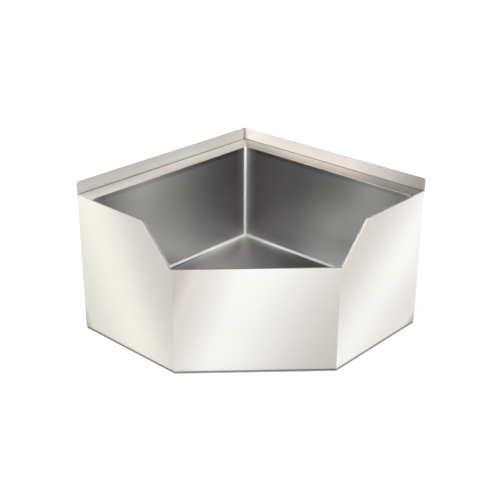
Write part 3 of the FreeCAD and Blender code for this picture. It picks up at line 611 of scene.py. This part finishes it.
def moulded_rubber(name):
    """Black nitrile rubber, moulded: matt, a little grey with bloom, with a grain of half a millimetre."""
    finish, tree, shader, place = new_finish(name, metallic=0.0)
    shader.inputs["IOR"].default_value = RUBBER_IOR
    bloom = add(tree, "ShaderNodeTexNoise", inputs={
        "Vector": place, "Scale": 1 / RUBBER_BLOOM, "Detail": 3.0})
    colour = add(tree, "ShaderNodeMix", COLOUR, {
        "Factor": bloom, COLOUR_A: linear("#1A1A1A"), COLOUR_B: linear("#343332")})
    tree.links.new(colour.outputs[MIXED], shader.inputs["Base Color"])
    grain = add(tree, "ShaderNodeTexNoise", inputs={"Vector": place, "Scale": 1 / RUBBER_GRAIN})
    brush(tree, shader, grain, roughness=0.62, spread=0.08, depth=0.2)
    return finish


def vulcanised_fibre(name):
    """Red vulcanised fibre, punched from board: a dull brick red, flecked by fibres a few mm long, which are
    drawn wide enough to show."""
    finish, tree, shader, place = new_finish(name, metallic=0.0)
    shader.inputs["IOR"].default_value = FIBRE_IOR
    laid = add(tree, "ShaderNodeMapping", inputs={
        "Vector": place, "Scale": (1 / FIBRE_LONG, 1 / FIBRE_WIDE, 1 / FIBRE_WIDE)})
    fibres = add(tree, "ShaderNodeTexNoise", inputs={"Vector": laid, "Scale": 1.0, "Detail": 3.0})
    colour = add(tree, "ShaderNodeMix", COLOUR, {
        "Factor": fibres, COLOUR_A: linear("#5E2A22"), COLOUR_B: linear("#8F4A3C")})
    tree.links.new(colour.outputs[MIXED], shader.inputs["Base Color"])
    brush(tree, shader, fibres, roughness=0.7, spread=0.08, depth=0.15)
    return finish


def welded_stainless(name):
    """Stainless weld metal, brushed but not ground: bright beads, tinted straw and blue-grey by the heat
    over about a centimetre."""
    finish, tree, shader, place = new_finish(name)
    heat = add(tree, "ShaderNodeTexNoise", inputs={
        "Vector": place, "Scale": 1 / HEAT_TINT, "Detail": 2.0})
    tint = add(tree, "ShaderNodeValToRGB", inputs=(heat,))
    stops = tint.color_ramp.elements
    stops.new(0.5)
    for stop, position, colour in zip(stops, (0.35, 0.5, 0.66), ("#8A8E98", "#C9C6BF", "#C2A873")):
        stop.position = position
        stop.color = linear(colour)
    tree.links.new(tint.outputs["Color"], shader.inputs["Base Color"])
    brush(tree, shader, heat, roughness=0.3, spread=0.08, depth=0.02)
    return finish


# The pieces in their finishes

weld_metal = welded_stainless("welded_stainless_bead")
polished_steel = turned_stainless("turned_stainless_drain")

# Tones of the aprons, decks and upstands are painted reflections and shade: bright bands and darker ends
satin_finishes = {
    "left_side_apron": belt_ground_stainless(
        "belt_ground_stainless_left", way=(0.641, -0.641, 0.423),
        tones=((-0.250, "#ACAAA4"), (-0.203, "#D6D4CC"), (-0.03, "#E6E3DA"), (0.21, "#C4C0BC"))),
    "front_apron": belt_ground_stainless(
        "belt_ground_stainless_front", way=(0.94, 0, -0.342),
        tones=((-0.30, "#BEB9B2"), (-0.255, "#D3CEC8"), (-0.125, "#E7E7E6"), (0.21, "#C1BDB7"))),
    "right_side_apron": belt_ground_stainless(
        "belt_ground_stainless_right", way=(-0.4545, -0.4545, 0.766),
        tones=((-0.178, "#B0ADA9"), (-0.132, "#E1DED9"), (-0.10, "#E1DED9"), (0.07, "#EBEBEA"),
               (0.31, "#CCC7C1"))),
    "left_deck": brushed_deck(
        "brushed_stainless_left_deck",
        tones=((-0.45, "#FCF8F4"), (-0.33, "#FCF8F4"), (-0.22, "#F6F2EC"), (-0.06, "#F8F4EE")),
        turn=-45.0, way=(ROOT_HALF, -ROOT_HALF, 0), edge=(0.0002, 0.0028), rear_share=0.5),
    "right_deck": brushed_deck(
        "brushed_stainless_right_deck",
        tones=((0.05, "#C6C1BC"), (0.16, "#E2DAD4"), (0.28, "#D8D3CD"), (0.40, "#B0ACA8")),
        turn=45.0, way=(-ROOT_HALF, -ROOT_HALF, 0), edge=(-0.0016, 0.0008), rear_share=0.0),
    "left_splash": brushed_upstand(
        "brushed_stainless_left_upstand",
        tones=((-0.48, "#C6C4C0"), (-0.34, "#CBC9C5"), (-0.20, "#D8D6D2"), (-0.008, "#D3D1CD"),
               (-0.003, "#A09C98")), roughness=0.68),
    "right_splash": brushed_upstand(
        "brushed_stainless_right_upstand",
        tones=((0.05, "#F8F6F2"), (0.18, "#F0ECE8"), (0.32, "#F2ECE9"), (0.42, "#DEDAD7"),
               (0.49, "#BAB6B2")), roughness=0.8),
}
# Tones of the walls are painted light and shade: dark by the back corner and at the outer ends, lighter
# between
bowl_walls = {
    "left": bowl_stainless_painted_light(
        "bowl_stainless_left_walls_painted_light",
        tones=((-0.47, "#868484"), (-0.42, "#A8A7A7"), (-0.34, "#E4E4E3"), (-0.27, "#DEDEDD"),
               (-0.19, "#C0C0BF"), (-0.11, "#A09E9F"), (-0.03, "#878283")),
        low_share=0.58, corner_share=0.45, cove_highlight="#FAFAF8"),
    "right": bowl_stainless_painted_light(
        "bowl_stainless_right_walls_painted_light",
        tones=((0.03, "#888485"), (0.11, "#8F8C8D"), (0.20, "#909090"), (0.29, "#AEAEAD"),
               (0.36, "#CECECD"), (0.43, "#AAA9A8"), (0.48, "#625F5E")),
        low_share=0.7, corner_share=0.14, cove_highlight="#FAFAF8"),
}
bowl_finishes = {node: bowl_walls[hand(node)] for node in BOWL_SHEETS}
# The floor's tones are painted light and shade: dark at both ends, lightest left of the middle
bowl_finishes["bowl_floor_pan"] = bowl_stainless_painted_light(
    "bowl_stainless_floor_painted_light",
    tones=((-0.24, "#666666"), (-0.17, "#B8B8B7"), (-0.11, "#EEEEEC"), (-0.01, "#D4D4D3"),
           (0.09, "#A0A0A0"), (0.17, "#686868"), (0.24, "#5C5C5C")),
    low_share=0.0, corner_share=0.0, cove_highlight="#F8F8F6", fine="Y", cove_reflection=cove_reflection_floor)
# Tones of the rims are painted reflections: lighter ends on the level rim, the slopes dark on the left and
# grey on the right
rim_finishes = [
    linished_stainless(
        "linished_stainless_rim",
        tones=((-0.466, "#E0E0DC"), (-0.452, "#A4A29E"), (0.452, "#A4A29E"), (0.466, "#E2E2E0")),
        roughness=1.0),
    linished_stainless(
        "linished_stainless_rim_slopes", tones=((-0.40, "#4E4C4A"), (0.40, "#A4A4A2")), roughness=0.42),
]
skins(satin_finishes, bowl_finishes, bowl_walls, rim_finishes)


def dress(nodes, finish):
    """Give solids that show as they are their finish."""
    for node in nodes:
        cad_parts[node].data.materials.clear()
        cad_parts[node].data.materials.append(finish)


dress(FRAME_STEEL, cold_rolled_stainless("cold_rolled_stainless_frame"))
dress(DRAIN_STEEL, polished_steel)
dress(NUTS, cast_brass("cast_brass_nuts"))
dress(["tailpiece"], chromed_tube("chromed_brass_tailpiece"))
dress(RUBBER_RINGS, moulded_rubber("moulded_nitrile_rubber"))
dress(["friction_washer"], vulcanised_fibre("vulcanised_fibre_washer"))


# Welds, spot welds and threads: each kind is grown along its paths by a tree of its own

# Beads: their ripples stand a little off the sheet, overlap and vary
BEAD_WIDTH, BEAD_STAND, BEAD_SEED = 0.0026, 0.0002, 7
RIPPLE_STEP, RIPPLE_OVERLAP, RIPPLE_SPREAD = 0.0024, 1.9, (0.9, 1.08)
OUTER_COVE = COVE_RADIUS + SHEET + BEAD_STAND
FRONT_CORNERS = (2, 3)

# The frame's seams, along and out from a wall, and in height: the leg on its foot, and the base rails
LEG_INNER, LEG_END, FOOT_TOP, FOOT_END = 0.0067, 0.0437, 0.003, 0.060
RAIL_END, RAIL_WALL, RAIL_HEEL, RAIL_RISE, RAIL_EDGE = 0.6862, 0.002, 0.003, 0.008, 0.024

# Spot welds: on the laps of upstand and deck, and on the stiffeners' flanges
MARK_SPACING, MARK_RADIUS, MARK_RIM, MARK_STAND = 0.05, 0.0026, 0.0002, 0.00005
MARK_SIDES, MARK_RIM_SIDES = 18, 6
LAP_MIDDLE, LAP_ENDS = 0.4245, (0.05, 0.69)
FLANGE_UNDERSIDE, FLANGE_ENDS, FLANGE_MIDDLES = 0.109, (0.045, -0.328), (-0.2025, -0.1575, 0.1575, 0.2025)

# Threads of the drain: name, radius, turns, depth and height of the foot
THREAD_PITCH, THREAD_STEPS = 0.0022, 48
THREADS = [
    ("drain_cup_thread", 0.0455, 14.0, 0.0004, 0.0695),
    ("drain_neck_thread", 0.030, 11.0, 0.00035, 0.0435),
]

# Inputs of the trees that are no plain numbers
SOCKET_KINDS = {"Foot": "NodeSocketVector", "Seed": "NodeSocketInt"}


def in_sink(along, out, height):
    """A point given along the left wall of the room, out from it, and up, in the sink's own frame."""
    return Vector((ROOT_HALF * (out - along), BACK - ROOT_HALF * (along + out), height))


def with_twin(lines):
    """Left-hand lines and their right-hand twins."""
    return lines + [[Vector((-point.x, point.y, point.z)) for point in line] for line in lines]


def path_mesh(name, lines, closed=False, facings=None):
    """Lines as a mesh of loose edges, with the way that each line's sheet faces."""
    points, edges, ways = [], [], []
    for number, line in enumerate(lines):
        first = len(points)
        points += line
        edges += [(first + step, first + step + 1) for step in range(len(line) - 1)]
        if closed:
            edges.append((first + len(line) - 1, first))
        if facings:
            ways += [facings[number]] * len(line)
    mesh = bpy.data.meshes.new(name)
    mesh.from_pydata(points, edges, [])
    if facings:
        facing = mesh.attributes.new("facing", "FLOAT_VECTOR", "POINT")
        facing.data.foreach_set("vector", [c for way in ways for c in way])
    return mesh


def open_tree(name, sizes):
    """A new tree with named inputs for its path, its sizes and its finish."""
    tree = bpy.data.node_groups.new(name, "GeometryNodeTree")
    tree.interface.new_socket("Path", in_out="INPUT", socket_type="NodeSocketGeometry")
    for size in sizes:
        kind = SOCKET_KINDS.get(size, "NodeSocketFloat")
        tree.interface.new_socket(size, in_out="INPUT", socket_type=kind)
    tree.interface.new_socket("Finish", in_out="INPUT", socket_type="NodeSocketMaterial")
    tree.interface.new_socket("Result", in_out="OUTPUT", socket_type="NodeSocketGeometry")
    return tree, add(tree, "NodeGroupInput").outputs


def close_tree(tree, given, geometry):
    """Make a tree's result plain geometry, smooth and in its finish."""
    plain = add(tree, "GeometryNodeRealizeInstances", inputs=(geometry,))
    smooth = add(tree, "GeometryNodeSetShadeSmooth", inputs=(plain,))
    finished = add(tree, "GeometryNodeSetMaterial", inputs={"Geometry": smooth, "Material": given["Finish"]})
    add(tree, "NodeGroupOutput", inputs={"Result": finished})
    return tree


def weld_bead_tree():
    """Overlapping ripples along a path, as the filler rod leaves them."""
    tree, given = open_tree("weld_bead", ["Corner Radius", "Ripple Step", "Bead Width", "Seed"])
    line = add(tree, "GeometryNodeMeshToCurve", inputs=(given["Path"],))
    rounded = add(tree, "GeometryNodeFilletCurve", {"mode": "POLY"}, {
        "Curve": line, "Radius": given["Corner Radius"], "Limit Radius": True, "Count": 8})
    steps = add(tree, "GeometryNodeCurveToPoints", {"mode": "LENGTH"}, {
        "Curve": rounded, "Length": given["Ripple Step"]})
    ripple = add(tree, "GeometryNodeMeshUVSphere", inputs={"Segments": 8, "Rings": 5, "Radius": 0.5})
    overlap = add(tree, "ShaderNodeMath", PRODUCT, (given["Ripple Step"], RIPPLE_OVERLAP))
    size = add(tree, "ShaderNodeCombineXYZ", inputs=(given["Bead Width"], given["Bead Width"], overlap))
    unsteady = add(tree, "FunctionNodeRandomValue", {"data_type": "FLOAT"}, {
        LEAST: RIPPLE_SPREAD[0], MOST: RIPPLE_SPREAD[1], "Seed": given["Seed"]})
    scale = add(tree, "ShaderNodeVectorMath", {"operation": "SCALE"}, {
        "Vector": size, "Scale": unsteady.outputs[DRAWN]})
    bead = add(tree, "GeometryNodeInstanceOnPoints", inputs={
        "Points": steps, "Instance": ripple, "Rotation": steps.outputs["Rotation"], "Scale": scale})
    return close_tree(tree, given, bead)


def spot_weld_tree():
    """Round marks along a path: a low rim round the flat that the electrode pressed."""
    tree, given = open_tree("spot_weld", ["Spacing", "Mark Radius", "Rim Height"])
    line = add(tree, "GeometryNodeMeshToCurve", inputs=(given["Path"],))
    spots = add(tree, "GeometryNodeCurveToPoints", {"mode": "LENGTH"}, {
        "Curve": line, "Length": given["Spacing"]})
    circle = add(tree, "GeometryNodeCurvePrimitiveCircle", inputs={
        "Resolution": MARK_SIDES, "Radius": given["Mark Radius"]})
    section = add(tree, "GeometryNodeCurvePrimitiveCircle", inputs={
        "Resolution": MARK_RIM_SIDES, "Radius": given["Rim Height"]})
    rim = add(tree, "GeometryNodeCurveToMesh", inputs={"Curve": circle, "Profile Curve": section})
    flat = add(tree, "GeometryNodeMeshCircle", {"fill_type": "NGON"}, {
        "Vertices": MARK_SIDES, "Radius": given["Mark Radius"]})
    pressed = add(tree, "GeometryNodeTransform", inputs={
        "Geometry": flat, "Translation": (0, 0, MARK_STAND)})
    mark = add(tree, "GeometryNodeJoinGeometry", inputs={"Geometry": rim})
    tree.links.new(pressed.outputs["Geometry"], mark.inputs["Geometry"])
    facing = add(tree, "GeometryNodeInputNamedAttribute", {"data_type": "FLOAT_VECTOR"}, {"Name": "facing"})
    turn = add(tree, "FunctionNodeAlignRotationToVector", {"axis": "Z"}, {
        "Vector": facing.outputs["Attribute"]})
    marks = add(tree, "GeometryNodeInstanceOnPoints", inputs={
        "Points": spots, "Instance": mark, "Rotation": turn})
    return close_tree(tree, given, marks)


def thread_tree():
    """A screw thread: one sharp ridge wound up round a cylinder."""
    tree, given = open_tree("screw_thread", ["Radius", "Pitch", "Turns", "Depth", "Foot"])
    rise = add(tree, "ShaderNodeMath", PRODUCT, (given["Pitch"], given["Turns"]))
    wound = add(tree, "GeometryNodeCurveSpiral", inputs={
        "Resolution": THREAD_STEPS, "Rotations": given["Turns"], "Start Radius": given["Radius"],
        "End Radius": given["Radius"], "Height": rise})
    section = add(tree, "GeometryNodeCurvePrimitiveCircle", inputs={
        "Resolution": 4, "Radius": given["Depth"]})
    ridge = add(tree, "GeometryNodeCurveToMesh", inputs={
        "Curve": wound, "Profile Curve": section, "Fill Caps": True})
    placed = add(tree, "GeometryNodeTransform", inputs={"Geometry": ridge, "Translation": given["Foot"]})
    return close_tree(tree, given, placed)


def grow(name, tree, path, finish, sizes):
    """Run a tree over a path and keep what it makes as a plain mesh on the sink."""
    holder = new_object(name + "_path", path)
    grower = holder.modifiers.new(name, "NODES")
    grower.node_group = tree
    settings = {"Finish": finish, **sizes}
    for item in tree.interface.items_tree:
        if item.in_out == "INPUT" and item.name in settings:
            grower[item.identifier] = settings[item.name]
    depsgraph = bpy.context.evaluated_depsgraph_get()
    mesh = bpy.data.meshes.new_from_object(holder.evaluated_get(depsgraph), depsgraph=depsgraph)
    mesh.name = name
    holder.modifiers.remove(grower)
    bpy.data.objects.remove(holder)
    bpy.data.meshes.remove(path)
    return finished_piece(name, mesh, "sink")


def bowl_outline(growth):
    """Corners of the bowl's plan, moved outwards, along and out from the left wall: the back one, the left
    one, the two FRONT_CORNERS and the right one."""
    near_side, far = DECK_DEPTH - growth, WALL_RUN - RIM_WIDTH + growth
    fold = SIDE_DEPTH - (RIM_WIDTH - growth) * (math.sqrt(2) - 1)
    plan = [(near_side, near_side), (far, near_side), (far, fold), (fold, far), (near_side, far)]
    return [np.array(corner) for corner in plan]


def pan_seam():
    """The seam round the floor pan's edge."""
    return [[in_sink(*corner, PAN_EDGE) for corner in bowl_outline(SHEET + BEAD_STAND)]]


def corner_seams():
    """The upright seams outside the bowl's five corners, each on the ray from the drain to the corner."""
    drain = np.array([DRAIN_SETBACK, DRAIN_SETBACK])
    plan = bowl_outline(0.0)
    seams = []
    for number, corner in enumerate(plan):
        before, after = plan[number - 1] - corner, plan[(number + 1) % len(plan)] - corner
        before, after = before / np.linalg.norm(before), after / np.linalg.norm(after)
        middle = (before + after) / np.linalg.norm(before + after)
        centre = corner + middle * COVE_RADIUS / math.sqrt(1 - (before @ middle) ** 2)
        ray = (corner - drain) / np.linalg.norm(corner - drain)
        offset = (centre - drain) @ ray
        distance = offset + math.sqrt(OUTER_COVE ** 2 - (centre - drain) @ (centre - drain) + offset ** 2)
        along, out = drain + ray * distance
        top = FRONT_LIP if number in FRONT_CORNERS else REAR_LIP
        seams.append([in_sink(along, out, PAN_EDGE), in_sink(along, out, top)])
    return seams


def frame_seams():
    """The leg's seams on its foot and under the decks, and the rails' on the foot and the side aprons."""
    leg = [[in_sink(LEG_END, LEG_INNER, height), in_sink(LEG_INNER, LEG_INNER, height),
            in_sink(LEG_INNER, LEG_END, height)] for height in (FOOT_TOP, DECK_UNDERSIDE)]
    rails = with_twin([
        [in_sink(FOOT_END, RAIL_HEEL, RAIL_WALL), in_sink(FOOT_END, RAIL_EDGE, RAIL_WALL)],
        [in_sink(RAIL_END, RAIL_HEEL, RAIL_WALL), in_sink(RAIL_END, RAIL_EDGE, RAIL_WALL)],
        [in_sink(RAIL_END, RAIL_WALL, RAIL_RISE), in_sink(RAIL_END, RAIL_WALL, RAIL_EDGE)]])
    return leg + rails


def spot_weld_lines():
    """The lines of spot welds, as a path with the ways that their sheets face."""
    laps = with_twin([[in_sink(end, 0.0, LAP_MIDDLE) for end in LAP_ENDS]])
    flanges = [[Vector((x, y, FLANGE_UNDERSIDE)) for y in FLANGE_ENDS] for x in FLANGE_MIDDLES]
    facings = [(-ROOT_HALF, ROOT_HALF, 0.0), (ROOT_HALF, ROOT_HALF, 0.0)] + [(0.0, 0.0, -1.0)] * len(flanges)
    return path_mesh("spot_weld_lines", laps + flanges, facings=facings)


bead = weld_bead_tree()
for name, seams, slot, corner_radius in (
        ("pan_weld", path_mesh("pan_seam", pan_seam(), closed=True), "bowl_sheet", OUTER_COVE),
        ("bowl_corner_welds", path_mesh("corner_seams", corner_seams()), "bowl_sheet", 0.0),
        ("frame_welds", path_mesh("frame_seams", frame_seams()), "frame_steel", 0.0)):
    grow(name, bead, seams, weld_metal, {
        "Corner Radius": corner_radius, "Ripple Step": RIPPLE_STEP, "Bead Width": BEAD_WIDTH,
        "Seed": BEAD_SEED})

grow("spot_weld_marks", spot_weld_tree(), spot_weld_lines(), weld_metal, {
    "Spacing": MARK_SPACING, "Mark Radius": MARK_RADIUS, "Rim Height": MARK_RIM})

thread = thread_tree()
for name, radius, turns, depth, foot in THREADS:
    grow(name, thread, bpy.data.meshes.new(name + "_path"), polished_steel, {
        "Radius": radius, "Pitch": THREAD_PITCH, "Turns": turns, "Depth": depth,
        "Foot": (0, -DRAIN_BACK, foot)})


# Stage

# The paper: where it has a painted shadow under and just round the sink, how that ends, and how its glow
# grows to white farther out
PAPER_SIZE, PAPER_DROP, PAPER_GREY = 12.0, 0.0008, (0.3, 0.3, 0.3, 1)
SHADE_REAR, SHADE_SIDE, SHADE_FRONT, SHADE_END = 0.2668, 0.4362, 0.3910, (0.0015, 0.006)
GLOW_NEAR, GLOW_RUN = 0.75, (0.1, 2.0)
WHITE = (1, 1, 1, 1)

# The backdrop fades to the ceiling between two rises of the look upwards
BACKDROP_RISES, CEILING_LEVEL = (0.03, 0.3), 0.03

# Lamps: name, azimuth (0 in front, 90 on the right), elevation and power in watts
LAMP_TARGET, LAMP_DISTANCE, LAMP_SIZE = Vector((0, 0, 0.3)), 3.2, 1.6
LAMPS = [
    ("right_front", 45, 38, 55),
    ("high_left", -90, 65, 57),
    ("low_right", 45, 12, 30),
    ("front_left", -45, 20, 34),
    ("front", 8, 16, 12),
    ("back_left", -150, 25, 22),
    ("back_right", 150, 25, 20),
]


def white_paper():
    """White paper: it glows white all round, with a painted shadow under and just round the sink where its
    glow is left out, and its matt face keeps the lamps' shadow.
    """
    paper = bpy.data.materials.new("white_paper")
    paper.use_nodes = True
    tree = paper.node_tree
    tree.nodes.clear()
    path = add(tree, "ShaderNodeLightPath")
    seen = path.outputs["Is Camera Ray"]
    for kind in ("Is Glossy Ray", "Is Transmission Ray"):
        seen = add(tree, "ShaderNodeMath", LARGEST, (seen, path.outputs[kind]))
    place = add(tree, "ShaderNodeTexCoord")
    xyz = add(tree, "ShaderNodeSeparateXYZ", inputs=(place.outputs["Object"],))
    outline = outside_plan(tree, xyz.outputs, SHADE_REAR, SHADE_SIDE, SHADE_FRONT)
    near = add(tree, "ShaderNodeMapRange", SMOOTH, (outline, *SHADE_END, 0.0, GLOW_NEAR))
    far = add(tree, "ShaderNodeMapRange", SMOOTH, (outline, *GLOW_RUN, 0.0, 1.0 - GLOW_NEAR))
    level = add(tree, "ShaderNodeMath", SUM, (near, far))
    strength = add(tree, "ShaderNodeMath", PRODUCT, (seen, level))
    glow = add(tree, "ShaderNodeEmission", inputs={"Color": WHITE, "Strength": strength})
    matt = add(tree, "ShaderNodeBsdfDiffuse", inputs={"Color": PAPER_GREY})
    both = add(tree, "ShaderNodeAddShader", inputs=(glow, matt))
    add(tree, "ShaderNodeOutputMaterial", inputs={"Surface": both})
    return paper


def studio_floor():
    """A sheet of white paper just below the sink."""
    corners = [(x * PAPER_SIZE, y * PAPER_SIZE, 0) for x, y in ((-1, -1), (1, -1), (1, 1), (-1, 1))]
    mesh = bpy.data.meshes.new("studio_floor")
    mesh.from_pydata(corners, [], [(0, 1, 2, 3)])
    mesh.materials.append(white_paper())
    floor = new_object("studio_floor", mesh)
    floor.location.z = -PAPER_DROP


def studio_world():
    """A white backdrop round the horizon, under a dim ceiling."""
    world = bpy.data.worlds.new("studio")
    bpy.context.scene.world = world
    world.use_nodes = True
    tree = world.node_tree
    tree.nodes.clear()
    way = add(tree, "ShaderNodeTexCoord")
    rise = add(tree, "ShaderNodeSeparateXYZ", inputs=(way.outputs["Generated"],))
    level = add(tree, "ShaderNodeMapRange", SMOOTH, (rise.outputs["Z"], *BACKDROP_RISES, 1.0, CEILING_LEVEL))
    room = add(tree, "ShaderNodeBackground", inputs={"Color": WHITE, "Strength": level})
    add(tree, "ShaderNodeOutputWorld", inputs={"Surface": room})


def softbox(name, azimuth, elevation, power):
    """A soft square lamp that is seen from the sink at an azimuth and an elevation, and faces it."""
    a, e = math.radians(azimuth), math.radians(elevation)
    away = Vector((math.sin(a) * math.cos(e), -math.cos(a) * math.cos(e), math.sin(e)))
    lamp = bpy.data.lights.new(name, "AREA")
    lamp.shape = "RECTANGLE"
    lamp.size = LAMP_SIZE
    lamp.size_y = LAMP_SIZE
    lamp.energy = power
    item = new_object(name, lamp)
    item.location = LAMP_TARGET + away * LAMP_DISTANCE
    item.rotation_euler = (-away).to_track_quat("-Z", "Y").to_euler()


studio_floor()
studio_world()
for lamp in LAMPS:
    softbox(*lamp)


# Camera, solved from the photograph's points

PHOTO_WIDTH_PIXELS, FOCAL_LENGTH_PIXELS, SENSOR_WIDTH = 500, 974.3, 36.0
VIEW_YAW, VIEW_PITCH, VIEW_ROLL = math.radians(2.731), math.radians(24.614), math.radians(0.435)
CAMERA_PLACE = Vector((-0.1307, -2.7410, 1.4543))


def photo_camera():
    """The camera at the photograph's viewing point, looking ahead and down, and rolled a little."""
    data = bpy.data.cameras.new("photo_camera")
    data.sensor_width = SENSOR_WIDTH
    data.lens = FOCAL_LENGTH_PIXELS / PHOTO_WIDTH_PIXELS * SENSOR_WIDTH
    camera = new_object("photo_camera", data)
    level = math.cos(VIEW_PITCH)
    ahead = Vector((math.sin(VIEW_YAW) * level, math.cos(VIEW_YAW) * level, -math.sin(VIEW_PITCH)))
    right = ahead.cross(Vector((0, 0, 1))).normalized()
    up = right.cross(ahead)
    turned = math.cos(VIEW_ROLL) * right + math.sin(VIEW_ROLL) * up
    risen = math.cos(VIEW_ROLL) * up - math.sin(VIEW_ROLL) * right
    matrix = Matrix((turned, risen, -ahead)).transposed().to_4x4()
    matrix.translation = CAMERA_PLACE
    camera.matrix_world = matrix
    return camera


bpy.context.scene.camera = photo_camera()
bpy.context.scene.view_settings.view_transform = "Standard"
